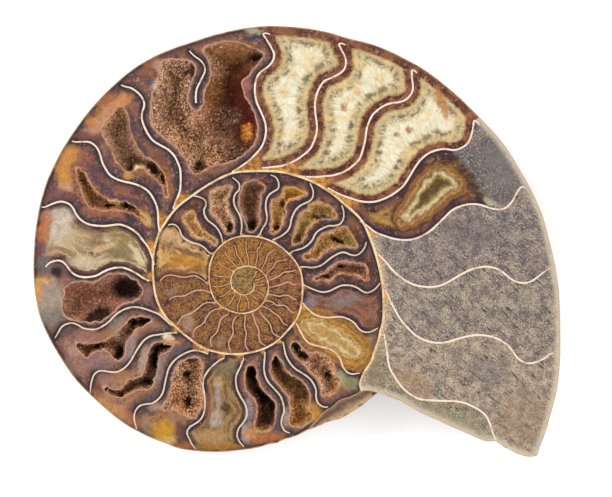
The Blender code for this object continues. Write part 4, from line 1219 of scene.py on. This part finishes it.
# The wide chambers take coarser cells, and those of the outer whorl have redder linings
COARSE_CELL, FINE_CELL, FIRST_FINE = 0.00037, 0.00027, 21
OUTER_RED, INNER_RED, FIRST_INNER = (142, 94, 80), (116, 70, 54), 22
# In mm: how far the red and the grit reach from the wall, and further than any mark reaches
RED_REACH, GRIT_REACH, FAR = 1.7, 1.1, 9.0
MM = 1000
parts, carried = [], {}


def wall_between(start, end):
    """The stretch of wall between two septa, of at least two points."""
    return wall[start:end + 1] if end > start else wall[[start, start]]


def keep_values(name, values):
    carried.setdefault(name, []).append(np.asarray(values, float))


for order in range(len(bounds_in_order) - 1):
    _, first, first_inner, first_outer = bounds_in_order[order]
    _, second, second_inner, second_outer = bounds_in_order[order + 1]
    if order < len(CHAMBERS):
        name, kind, lining, lining_shade, core_shade, tint_shade, wedge = CHAMBERS[order]
    else:
        name, kind, wedge = "amber", AMBER, 0.7
        gold = min(1.0, max(0.0, (order - len(CHAMBERS) - GOLD_FROM) / GOLD_OVER))
        lining_shade, core_shade, tint_shade = (
            tuple(a + (b - a) * gold for a, b in zip(brown, bright))
            for brown, bright in (
                ((84, 50, 36), (104, 64, 28)), ((132, 86, 60), (172, 116, 46)),
                ((92, 54, 40), (120, 74, 28)),
            )
        )
        lining = 0.5 - 0.25 * gold
    inner_wall = wall_between(first_inner, second_inner)
    outer_wall = wall_between(first_outer, second_outer)
    cell = COARSE_CELL if order < FIRST_FINE else FINE_CELL
    grid, rows, columns = patch_points(first, second, inner_wall, outer_wall, cell)
    loop = np.vstack([first, outer_wall, second[::-1], inner_wall[::-1]])
    gap, _, along = to_curve(grid, loop)
    count = len(grid)
    cavity = np.full(count, FAR)
    low, high = grid.min(0), grid.max(0)
    keep = np.ones(count, bool)
    for outline in hollow_outlines:
        if (outline.max(0) < low).any() or (outline.min(0) > high).any():
            continue
        inside, nearest = inside_distance(grid, outline)
        keep &= inside < 0
        cavity = np.minimum(cavity, np.where(inside < 0, -inside * MM, 0.0))
        grid = np.where((inside > 0)[:, None], nearest, grid)
    faces = [corners for corners in grid_faces(rows, columns) if keep[list(corners)].any()]
    parts.append((np.column_stack([grid, np.full(count, FACE)]), faces))
    if name == "c1":
        gap = np.minimum(gap, to_curve(grid, broken_septum)[0])
    to_inner, to_outer, to_second = (
        to_curve(grid, curve)[0] * MM for curve in (inner_wall, outer_wall, second)
    )
    # Linings are slate purple along the septa and red brown towards the outer wall
    purple = np.array(tone(*lining_shade))
    red = np.array(tone(*(OUTER_RED if order < FIRST_INNER else INNER_RED)))
    outward = np.exp(-(to_outer / RED_REACH) ** 2)
    redness = outward[:, None] * (0.8 if kind == LINED else 0.3)
    keep_values("lining", purple + (red - purple) * redness)
    grey = np.full(count, float(kind == GREY))
    if name == "a1":
        reach = np.interp(grid[:, 1], agate_end[::-1, 1], agate_end[::-1, 0])
        grey = np.clip((grid[:, 0] - reach) / 0.0003 + 0.5, 0, 1)
    for part, shade in (("core", core_shade), ("tint", tint_shade)):
        shades = np.tile(tone(*shade), (count, 1))
        if name == "a1":
            shades += (np.array(tone(*AFTER_AGATE[part])) - shades) * grey[:, None]
        keep_values(part, shades)
    keep_values("edge", gap * MM)
    keep_values("along", along * MM)
    keep_values("cavity", cavity)
    keep_values("band", lining * (1 + 0.7 * outward))
    keep_values("wedge", (to_inner + to_second) / max(wedge, 0.01))
    keep_values("grit", np.exp(-(to_inner / GRIT_REACH) ** 2) * (kind == GREY))
    keep_values("grey", grey)
    for flag, wanted in (("calcite", CALCITE), ("agate", AGATE), ("amber", AMBER)):
        keep_values(flag, np.full(count, float(kind == wanted)))
    break_gap = to_curve(grid, break_curve)[0] * MM if order == 0 else np.full(count, FAR)
    keep_values("border", np.minimum(break_gap, np.where(order < FIRST_INNER, to_outer, FAR)))

# The first chambers, too small to show one by one, fill the middle of the coil
CORE_MIDDLE_PX, CORE_REACH = (243.5, 281.0), 0.0034
CORE_RINGS, CORE_SIDES = 12, 40
ring_reach = np.linspace(0.004, 1, CORE_RINGS)[:, None] * CORE_REACH
turns = np.linspace(0, math.tau, CORE_SIDES, endpoint=False)
core_x, core_y = ring_reach * np.cos(turns), ring_reach * np.sin(turns)
core_places = on_face([CORE_MIDDLE_PX]) + np.column_stack([core_x.ravel(), core_y.ravel()])
count = len(core_places)
faces = []
for ring in range(CORE_RINGS - 1):
    for side in range(CORE_SIDES):
        a, b = ring * CORE_SIDES + side, ring * CORE_SIDES + (side + 1) % CORE_SIDES
        faces.append((a, b, b + CORE_SIDES, a + CORE_SIDES))
parts.append((np.column_stack([core_places, np.full(count, FACE - 0.00004)]), faces))
for name, shade in (("lining", (104, 80, 48)), ("core", (150, 126, 84)), ("tint", (98, 74, 44))):
    keep_values(name, np.tile(tone(*shade), (count, 1)))
for name, value in (
    ("edge", 5.0), ("along", 0.0), ("cavity", FAR), ("band", 0.1), ("wedge", FAR), ("grit", 0.0),
    ("grey", 0.0), ("calcite", 0.0), ("agate", 0.0), ("amber", 1.0), ("border", FAR),
):
    keep_values(name, np.full(count, value))

points, faces = joined(parts)
carried = {name: np.concatenate(values) for name, values in carried.items()}
carried["patch"], carried["cover"] = stained(shaken(points))
used = np.zeros(len(points), bool)
used[np.array(faces).ravel()] = True
renumber = np.cumsum(used) - 1
points = points[used]
faces = [tuple(renumber[list(face)]) for face in faces]
carried = {name: values[used] for name, values in carried.items()}

face = Finish("polished_ammonite", 0.18)
edge, along = face.carried("edge"), face.carried("along")
fill, tint = face.carried("core", "Color"), face.carried("tint", "Color")
in_calcite, in_amber, in_mud = (face.carried(name) for name in ("calcite", "amber", "grey"))
fine = face.noise(5200, 3, 0.65)
coarse = face.noise(2600, 3, 0.7)
medium = face.noise(1900, 4)
drift = face.noise(950, 3)
wide = face.noise(300, 3)
drifted = face.shifted(edge, drift, 1.2)
opening = face.shifted(face.carried("cavity"), medium, 0.5)
# Dark linings: nearly black beside the septum, paler and greyer beside the hollow
mottle = face.noise(1250, 5, 0.62, distortion=0.8)
plain = face.maths("SUBTRACT", 1.0, face.maths("MAXIMUM", in_amber, in_calcite))
lining = face.layered(
    face.carried("lining", "Color"),
    ((62, 38, 36), (mottle, 0.4, 0.5, 0.7, 0.0)),
    ((194, 152, 118), (mottle, 0.54, 0.64, 0.0, 0.62)),
    ((158, 104, 74), (wide, 0.44, 0.6, 0.0, 0.65)),
    ((72, 60, 72), (edge, 0.6, 1.9, 0.6, 0.0), plain),
    ((46, 32, 38), (edge, 0.4, 0.95, 0.8, 0.0), plain),
    ((176, 142, 122), (opening, 0.2, 0.6, 0.5, 0.0)),
    ((214, 190, 172), (face.cells(2300), 0.12, 0.26, 0.75, 0.0), (drift, 0.5, 0.62)),
)
# Agate: layers that follow the wall loosely
agate_layers = face.noise(1.0, 4, 0.6, face.triple(
    face.maths("MULTIPLY", along, 0.22), face.maths("MULTIPLY", drifted, 1.3), 3.0))
agate = face.layered(
    fill,
    (tint, (agate_layers, 0.42, 0.58)),
    ((236, 222, 190), (fine, 0.56, 0.66, 0.0, 0.3)),
    ((104, 76, 48), (medium, 0.56, 0.72, 0.0, 0.45)),
)
# Amber: honey that darkens to red brown
honey = face.layered(
    fill,
    (tint, (medium, 0.4, 0.6)),
    ((82, 46, 28), (drift, 0.5, 0.6, 0.0, 0.7)),
    ((166, 112, 58), (face.noise(700, 2), 0.5, 0.6, 0.0, 0.45)),
    ((226, 182, 98), (fine, 0.53, 0.63, 0.0, 0.6)),
)
# Calcite: a pale layer, a ring of dark marks, then white fibres that grew inwards
fibre = face.noise(1.0, 4, 0.7, face.triple(
    face.maths("MULTIPLY", along, 2.4), face.maths("MULTIPLY", edge, 0.5)), 0.6)
smudge = face.noise(1.0, 4, 0.6, face.triple(
    face.maths("MULTIPLY", along, 1.1), face.maths("MULTIPLY", edge, 0.8), 7.0), 0.4)
white = face.layered((216, 202, 158), ((252, 244, 218), (fibre, 0.3, 0.66)))
calcite = face.layered(
    (178, 158, 114),
    ((220, 198, 154), (fibre, 0.34, 0.62)),
    (white, (drifted, 2.9, 4.4)),
    ((112, 98, 74), (drifted, 2.1, 2.9), (drifted, 3.3, 4.5, 1.0, 0.0), (smudge, 0.44, 0.6, 0.0, 0.85)),
    ((176, 160, 124), (face.noise(620, 3), 0.58, 0.72, 0.0, 0.35), (medium, 0.4, 0.6)),
    ((246, 208, 146), (wide, 0.54, 0.66, 0.0, 0.5)),
)
core = face.layered(
    fill,
    (tint, (medium, 0.4, 0.6)),
    ((170, 118, 88), (wide, 0.5, 0.65, 0.0, 0.4)),
    (agate, face.carried("agate")),
    (honey, in_amber),
    (calcite, in_calcite),
)
# Grey mud: needles, flecks and specks
needles = face.noise(1.0, 1, 0.4, face.turned(-42, (0.0030, 0.00042, 1.0)))
mud = face.layered(
    fill,
    (tint, (face.noise(520, 4), 0.36, 0.62)),
    ((176, 156, 134), (wide, 0.44, 0.62, 0.0, 0.35)),
    ((98, 90, 92), (medium, 0.38, 0.5, 0.4, 0.0)),
    ((88, 80, 82), (coarse, 0.36, 0.47, 0.7, 0.0)),
    ((214, 196, 166), (coarse, 0.55, 0.66, 0.0, 0.8)),
    ((66, 62, 74), (needles, 0.6, 0.65), (drift, 0.44, 0.54, 0.0, 0.9)),
    ((84, 74, 72), (fine, 0.4, 0.6, 0.3, 0.0)),
    ((222, 194, 156), face.carried("grit"), (coarse, 0.4, 0.6, 0.2, 1.0)),
)
# Stains, and the wedges of amber
patch = face.carried("patch", "Color")
stain = face.layered(
    patch,
    (face.darkened(patch, (196, 170, 160)), (drift, 0.4, 0.65, 0.0, 0.35)),
    (face.darkened(patch, (150, 130, 124)), (coarse, 0.42, 0.55, 0.25, 0.0)),
)
amber = face.layered(
    (222, 154, 66),
    ((142, 78, 30), (drift, 0.38, 0.62)),
    ((240, 206, 146), (medium, 0.54, 0.68, 0.0, 0.6)),
)
# All of it, with the salmon crust where a hollow opens and the pale border along the shell wall
share = face.maths("DIVIDE", drifted, face.carried("band"))
wedge = face.shifted(face.carried("wedge"), drift, 0.5)
border = face.shifted(face.carried("border"), drift, 0.4)
face.colour(face.layered(
    lining,
    (core, (share, 0.85, 1.1)),
    ((176, 138, 74), (share, 0.9, 1.02, 0.0, 0.8), (share, 1.05, 1.25, 1.0, 0.0), in_calcite),
    (mud, in_mud),
    (stain, face.carried("cover"), (medium, 0.3, 0.6, 0.7, 1.0)),
    (amber, (wedge, 0.6, 1.15, 0.9, 0.0)),
    ((208, 162, 134), (opening, 0.1, 0.38, 0.85, 0.0), (drift, 0.38, 0.56, 0.3, 1.0)),
    ((226, 210, 186), (border, 0.2, 1.7, 0.7, 0.0), in_mud),
    ((206, 166, 118), (border, 0.1, 0.3, 0.75, 0.0)),
    ((40, 26, 22), (fine, 0.35, 0.65, 0.2, 0.0)),
))
face.rough(face.across(fine, 0.35, 0.7, 0.14, 0.28))
face.bump(face.maths("ADD", fine, face.maths("MULTIPLY", medium, 0.8)), 0.00003, 0.5)
face.shader.inputs["Specular IOR Level"].default_value = 0.3
piece = make_piece("polished_face", points, faces, face, carried)

# THE BACK
# The outside of the shell below the saw cut: worn brown shell with faint ribs, wound round a
# hollow middle. Its shape follows the solid that it stands for.
# The coil's middle, its radius straight to the right, how fast it tightens, the mouth's angle
MIDDLE = on_face([(245.0, 283.0)])[0]
RADIUS_AT_RIGHT = 0.063
TIGHTENING = 0.1312
APERTURE_ANGLE = -39.6
# Across one turn, in shares of the radius: the seam with the turn inside, shoulder and crest
SEAM_SHARE = 0.27
SHOULDER_SHARE = 0.38
CREST_SHARE = 0.55
# How it rounds off to the rim where it is whole and where it is broken, and the angles between
EDGE_CURVE = (1.9, 0.62)
BROKEN_CURVE = (14.0, 0.40)
BROKEN_FROM = (274.0, 312.0)
FLANK_CROWN = 0.02
SHOULDER_CURVE = 0.8
EVEN_UNTIL = 230.0
# One turn on, the radius is this share of what it was. Then the rings of points across a turn
TURN_RATIO = math.exp(-2 * math.pi * TIGHTENING)
TURN_SHARES = (1.0, 0.995, 0.985, 0.97, 0.95, 0.925, 0.90, 0.86, 0.82, 0.77, 0.72, 0.67, 0.616,
               0.57, 0.52, 0.47)
PER_TURN = len(TURN_SHARES)
SEAM_RING = TURN_SHARES.index(0.616)
RINGS = 2 * PER_TURN + SEAM_RING
COLUMNS = 180
MOUTH_COLUMNS = 19
MOUTH_STEPS = 7
RIB_HEIGHT = 0.00016
RIB_COUNT = 76
TUCK = 0.0004


def coil_radius(angle):
    return RADIUS_AT_RIGHT * math.exp(-TIGHTENING * math.radians(angle))


def crowned(depth, share):
    off = (share - TURN_RATIO) / (CREST_SHARE - TURN_RATIO)
    return depth * (1 - FLANK_CROWN * off * off)


def flank_depth(share, angle):
    """How far the back lies under the polished face, at a share of the coil's radius."""
    if share < SEAM_SHARE - 1e-6:
        return flank_depth(share / TURN_RATIO, angle + 360)
    depth = FACE * math.exp(-TIGHTENING * math.radians(max(0.0, angle - EVEN_UNTIL)))
    if share > CREST_SHARE:
        out = min(1.0, (share - CREST_SHARE) / (1 - CREST_SHARE))
        broken = float(np.interp(angle, BROKEN_FROM, (0.0, 1.0)))
        inner_power, outer_power = (a + (b - a) * broken for a, b in zip(EDGE_CURVE, BROKEN_CURVE))
        return crowned(depth, CREST_SHARE) * max(0.0, 1 - out ** inner_power) ** outer_power
    if share > SHOULDER_SHARE:
        return crowned(depth, share)
    inner = flank_depth(SEAM_SHARE / TURN_RATIO, angle + 360)
    rise = math.sin((share - SEAM_SHARE) / (SHOULDER_SHARE - SEAM_SHARE) * math.pi / 2)
    return inner + (crowned(depth, SHOULDER_SHARE) - inner) * rise ** SHOULDER_CURVE


def polar(places):
    """Angle in degrees from the mouth's corner onwards, and distance from the middle."""
    rel = places - MIDDLE
    angle = np.degrees(np.arctan2(rel[:, 1], rel[:, 0]))
    return (angle - APERTURE_ANGLE) % 360 + APERTURE_ANGLE, np.linalg.norm(rel, axis=1)


CHIP_RIM_PX = (
    (290, 438), (291, 435), (300, 432), (310, 429.5), (320, 426), (330, 422), (340, 420),
    (350, 414.5), (360, 408), (369, 401), (378, 393),
)
chip_rim = smooth_curve(on_face(CHIP_RIM_PX), FINE_STEP)
edge_angles, edge_radii = polar(np.vstack([rim_curve, chip_rim]))
in_order = np.argsort(edge_angles)
edge_angles, edge_radii = edge_angles[in_order], edge_radii[in_order]
mouth_angles, mouth_radii = polar(break_curve)
mouth_angles = np.where(mouth_angles > 180, mouth_angles - 360, mouth_angles)
mouth_shares = np.array([r / coil_radius(a) for a, r in zip(mouth_angles, mouth_radii)])
in_order = np.argsort(mouth_shares)
mouth_shares, mouth_angles = mouth_shares[in_order], mouth_angles[in_order]


def back_point(column, ring):
    share = TURN_SHARES[ring % PER_TURN] * TURN_RATIO ** (ring // PER_TURN)
    angle = APERTURE_ANGLE + 360 * column / COLUMNS
    if share > 0.5:
        mouth_angle = float(np.interp(share, mouth_shares, mouth_angles))
        angle += (mouth_angle - APERTURE_ANGLE) * max(0.0, 1 - column / MOUTH_COLUMNS)
    edge_angle = max(angle, float(edge_angles[0]))
    wear = float(np.interp(edge_angle, edge_angles, edge_radii)) / coil_radius(edge_angle) - 1
    wear *= max(0.0, (share - 0.62) / 0.38)
    radius = coil_radius(angle) * share * (1 + wear)
    turn = math.radians(angle)
    x, y = MIDDLE[0] + radius * math.cos(turn), MIDDLE[1] + radius * math.sin(turn)
    depth = flank_depth(share, angle)
    whorl_angle = angle + 360 * (ring // PER_TURN)
    rib = math.sin(math.radians(whorl_angle + 14 * share) * RIB_COUNT) * RIB_HEIGHT
    rib *= min(1.0, depth / 0.003) * (1 if depth < 0.0128 else 0.4)
    rough = 0.00018 * ground.noise(Vector((x * 260, y * 260, depth * 200)))
    depth = min(max(0.0, depth - abs(rib) - abs(rough)), FACE)
    return x, y, FACE - depth


points, places_of = [], {}


def back_place(column, ring):
    """The first column's inner rings are the last column's, one turn further in."""
    if column == 0 and ring >= PER_TURN + SEAM_RING:
        column, ring = COLUMNS, ring - PER_TURN
    if (column, ring) not in places_of:
        places_of[column, ring] = len(points)
        points.append(back_point(column, ring))
    return places_of[column, ring]


def chip_drop(x, y):
    """How far the chipped surface lies under the polished face at a place by the chip."""
    gap = to_curve(np.array([(x, y)]), chip_line)[0][0]
    ends = min(1.0, np.linalg.norm(np.array((x, y)) - chip_line[0]) / 0.004,
               np.linalg.norm(np.array((x, y)) - chip_line[-1]) / 0.003)
    return ends * (0.0005 + 0.55 * gap) + 0.00012 * ground.noise(Vector((x * 900, y * 900, 2)))


faces = []
for column in range(COLUMNS):
    for ring in range(RINGS):
        corners = [
            back_place(column, ring), back_place(column, ring + 1),
            back_place(column + 1, ring + 1), back_place(column + 1, ring),
        ]
        faces.append(list(dict.fromkeys(corners)))
for ring in range(SEAM_RING):
    step = [
        back_place(COLUMNS, ring), back_place(COLUMNS, ring + 1),
        back_place(0, PER_TURN + ring + 1), back_place(0, PER_TURN + ring),
    ]
    faces.append(list(dict.fromkeys(step)))
loop = [back_place(column, RINGS) for column in range(COLUMNS)]
loop += [back_place(COLUMNS, ring) for ring in range(RINGS, RINGS - PER_TURN, -1)]
middle = len(points)
points.append((*MIDDLE, FACE - flank_depth(TURN_SHARES[SEAM_RING], 3 * 360)))
for first, second in zip(loop, loop[1:] + loop[:1]):
    if first != second:
        faces.append([first, middle, second])
# The mouth is an upright broken wall, and its top edge and the rim's tuck in just under the face
top_of_mouth = []
for ring in range(PER_TURN):
    x, y, z = points[back_place(0, ring)]
    column_of = []
    for k in range(1, MOUTH_STEPS):
        share = k / MOUTH_STEPS
        bulge = 0.0002 * ground.noise(Vector((x * 500, y * 500, share * 9)))
        points.append((x + bulge, y - abs(bulge), z + (FACE - z) * share))
        column_of.append(len(points) - 1)
    points.append((x, y, FACE - 0.00003))
    column_of.append(len(points) - 1)
    points.append((x - TUCK * 0.4, y + TUCK, FACE - 0.00006))
    column_of.append(len(points) - 1)
    top_of_mouth.append(column_of)
for ring in range(PER_TURN - 1):
    here = [back_place(0, ring)] + top_of_mouth[ring]
    there = [back_place(0, ring + 1)] + top_of_mouth[ring + 1]
    for k in range(len(here) - 1):
        faces.append([here[k], here[k + 1], there[k + 1], there[k]])
here = [back_place(0, PER_TURN - 1)] + top_of_mouth[-1]
faces.append([*here[:-1], back_place(COLUMNS, 0), back_place(0, PER_TURN)])
# The rim's top ring and its tuck
tucked = []
for column in range(COLUMNS + 1):
    i = back_place(column, 0)
    x, y, z = points[i]
    rel = np.array((x, y)) - MIDDLE
    inner = np.array((x, y)) - rel / np.linalg.norm(rel) * TUCK
    points[i] = (x, y, FACE - 0.00004)
    tucked.append(len(points))
    points.append((*inner, FACE - 0.00007))
for column in range(COLUMNS):
    faces.append([back_place(column, 0), back_place(column + 1, 0), tucked[column + 1], tucked[column]])
points = np.array(points)
# Where the face chipped, the shell's edge stands lower
CHIP_FROM_ANGLE, CHIP_LOWEST = 284, 0.006
angles, _ = polar(points[:, :2])
for i in np.flatnonzero((angles > CHIP_FROM_ANGLE) & (points[:, 2] > CHIP_LOWEST)):
    x, y, z = points[i]
    outside = to_curve(np.array([(x, y)]), chip_line)[0][0] > 0.0001
    beyond = y < float(np.interp(x, chip_line[:, 0], chip_line[:, 1]))
    if outside and beyond and chip_line[0][0] < x < chip_line[-1][0] + 0.003:
        points[i, 2] = min(z, FACE - chip_drop(x, y))

back = Finish("worn_shell", 0.55)
medium = back.noise(700, 4)
fine = back.noise(3000, 3)
back.colour(back.layered(
    back.ramp(back.noise(160, 4), (
        (0.3, (88, 62, 46)), (0.45, (128, 94, 68)), (0.58, (160, 124, 90)), (0.7, (190, 158, 122)),
    )),
    ((96, 58, 42), (medium, 0.5, 0.72, 0.0, 0.6)),
    ((206, 186, 154), (fine, 0.55, 0.8, 0.0, 0.5)),
    (back.layered((150, 140, 120), ((118, 104, 86), (medium, 0.4, 0.6))), back.carried("mouth")),
))
back.rough(back.across(fine, 0.3, 0.7, 0.42, 0.7))
back.bump(back.maths("ADD", fine, back.maths("MULTIPLY", medium, 1.5)), 0.00015, 0.6)
mouth_gap = to_curve(points[:, :2], break_curve)[0]
make_piece("worn_back", points, faces, back, {"mouth": np.clip(1.4 - mouth_gap / 0.0012, 0, 1)})

# THE CHIP
# A flake broke off the face at the lower right. The break slopes down and out to the rim, dark
# brown along its top and tan below.
CHIP_ROWS, CHIP_COLUMNS = 26, 120
top = evenly(chip_line, CHIP_COLUMNS)
low = evenly(chip_rim, CHIP_COLUMNS)
points, across_of = [], []
for share in np.linspace(0, 1, CHIP_ROWS):
    for (x0, y0), (x1, y1) in zip(top, low):
        x, y = x0 + (x1 - x0) * share, y0 + (y1 - y0) * share
        points.append((x, y, FACE - chip_drop(x, y) * min(1.0, share * 14)))
        across_of.append(share)
faces = [(a, d, c, b) for a, b, c, d in grid_faces(CHIP_ROWS, CHIP_COLUMNS)]
# By the mouth it ends in a low step under the edge of the face
row_ends = range(CHIP_COLUMNS - 1, len(points), CHIP_COLUMNS)
end_places = np.array([points[i][:2] for i in row_ends])
step_start = len(points)
for x, y in to_curve(end_places, break_curve)[1]:
    points.append((x, y, FACE - 0.00002))
    across_of.append(0.3)
for b, (a, after) in enumerate(zip(row_ends, row_ends[1:]), start=step_start):
    faces.append((a, b, b + 1, after))
chip = Finish("broken_stone", 0.6)
medium = chip.noise(1100, 5)
fine = chip.noise(3600, 4)
chip.colour(chip.layered(
    chip.ramp(chip.shifted(chip.carried("down"), medium, 0.6), (
        (0.0, (150, 108, 84)), (0.3, (92, 64, 50)), (0.55, (148, 114, 84)), (0.9, (206, 174, 132)),
    )),
    ((200, 170, 132), (fine, 0.5, 0.8, 0.0, 0.6)),
))
chip.bump(chip.maths("ADD", medium, fine), 0.0004, 0.8)
make_piece("chip", points, faces, chip, {"down": across_of})

# THE FLOOR AND THE LIGHT
# A white sweep and large soft lamps, set low enough that the polish doesn't mirror them up into
# the camera.
FLOOR_HALF, FLOOR_HEIGHT = 3, -0.0002
floor_mesh = bpy.data.meshes.new("floor")
floor_corners = [
    (x * FLOOR_HALF, y * FLOOR_HALF, FLOOR_HEIGHT) for x, y in ((-1, -1), (1, -1), (1, 1), (-1, 1))
]
floor_mesh.from_pydata(floor_corners, [], [(0, 1, 2, 3)])
floor = bpy.data.objects.new("floor", floor_mesh)
bpy.context.scene.collection.objects.link(floor)
paper = Finish("white_paper", 0.9)
paper.colour(paper.blend(paper.noise(40, 2), (0.93, 0.93, 0.93), (0.96, 0.96, 0.96)))
floor_mesh.materials.append(paper.material)

world = bpy.data.worlds.new("studio")
world.use_nodes = True
world.node_tree.nodes["Background"].inputs["Color"].default_value = (1, 1, 1, 1)
world.node_tree.nodes["Background"].inputs["Strength"].default_value = 1.1
bpy.context.scene.world = world
LAMPS = (
    ("left_lamp", (-0.55, 0.35, 0.55), 0.5, 3.9),
    ("right_lamp", (0.6, 0.2, 0.5), 0.5, 2.3),
    ("near_lamp", (0.0, -0.65, 0.5), 0.5, 1.7),
)
for name, place, width, power in LAMPS:
    lamp = bpy.data.lights.new(name, "AREA")
    lamp.shape = "DISK"
    lamp.size = width
    lamp.energy = power
    stand = bpy.data.objects.new(name, lamp)
    stand.location = place
    stand.rotation_euler = (-Vector(place)).to_track_quat("-Z", "Y").to_euler()
    bpy.context.scene.collection.objects.link(stand)
bpy.context.scene.view_settings.view_transform = "Standard"
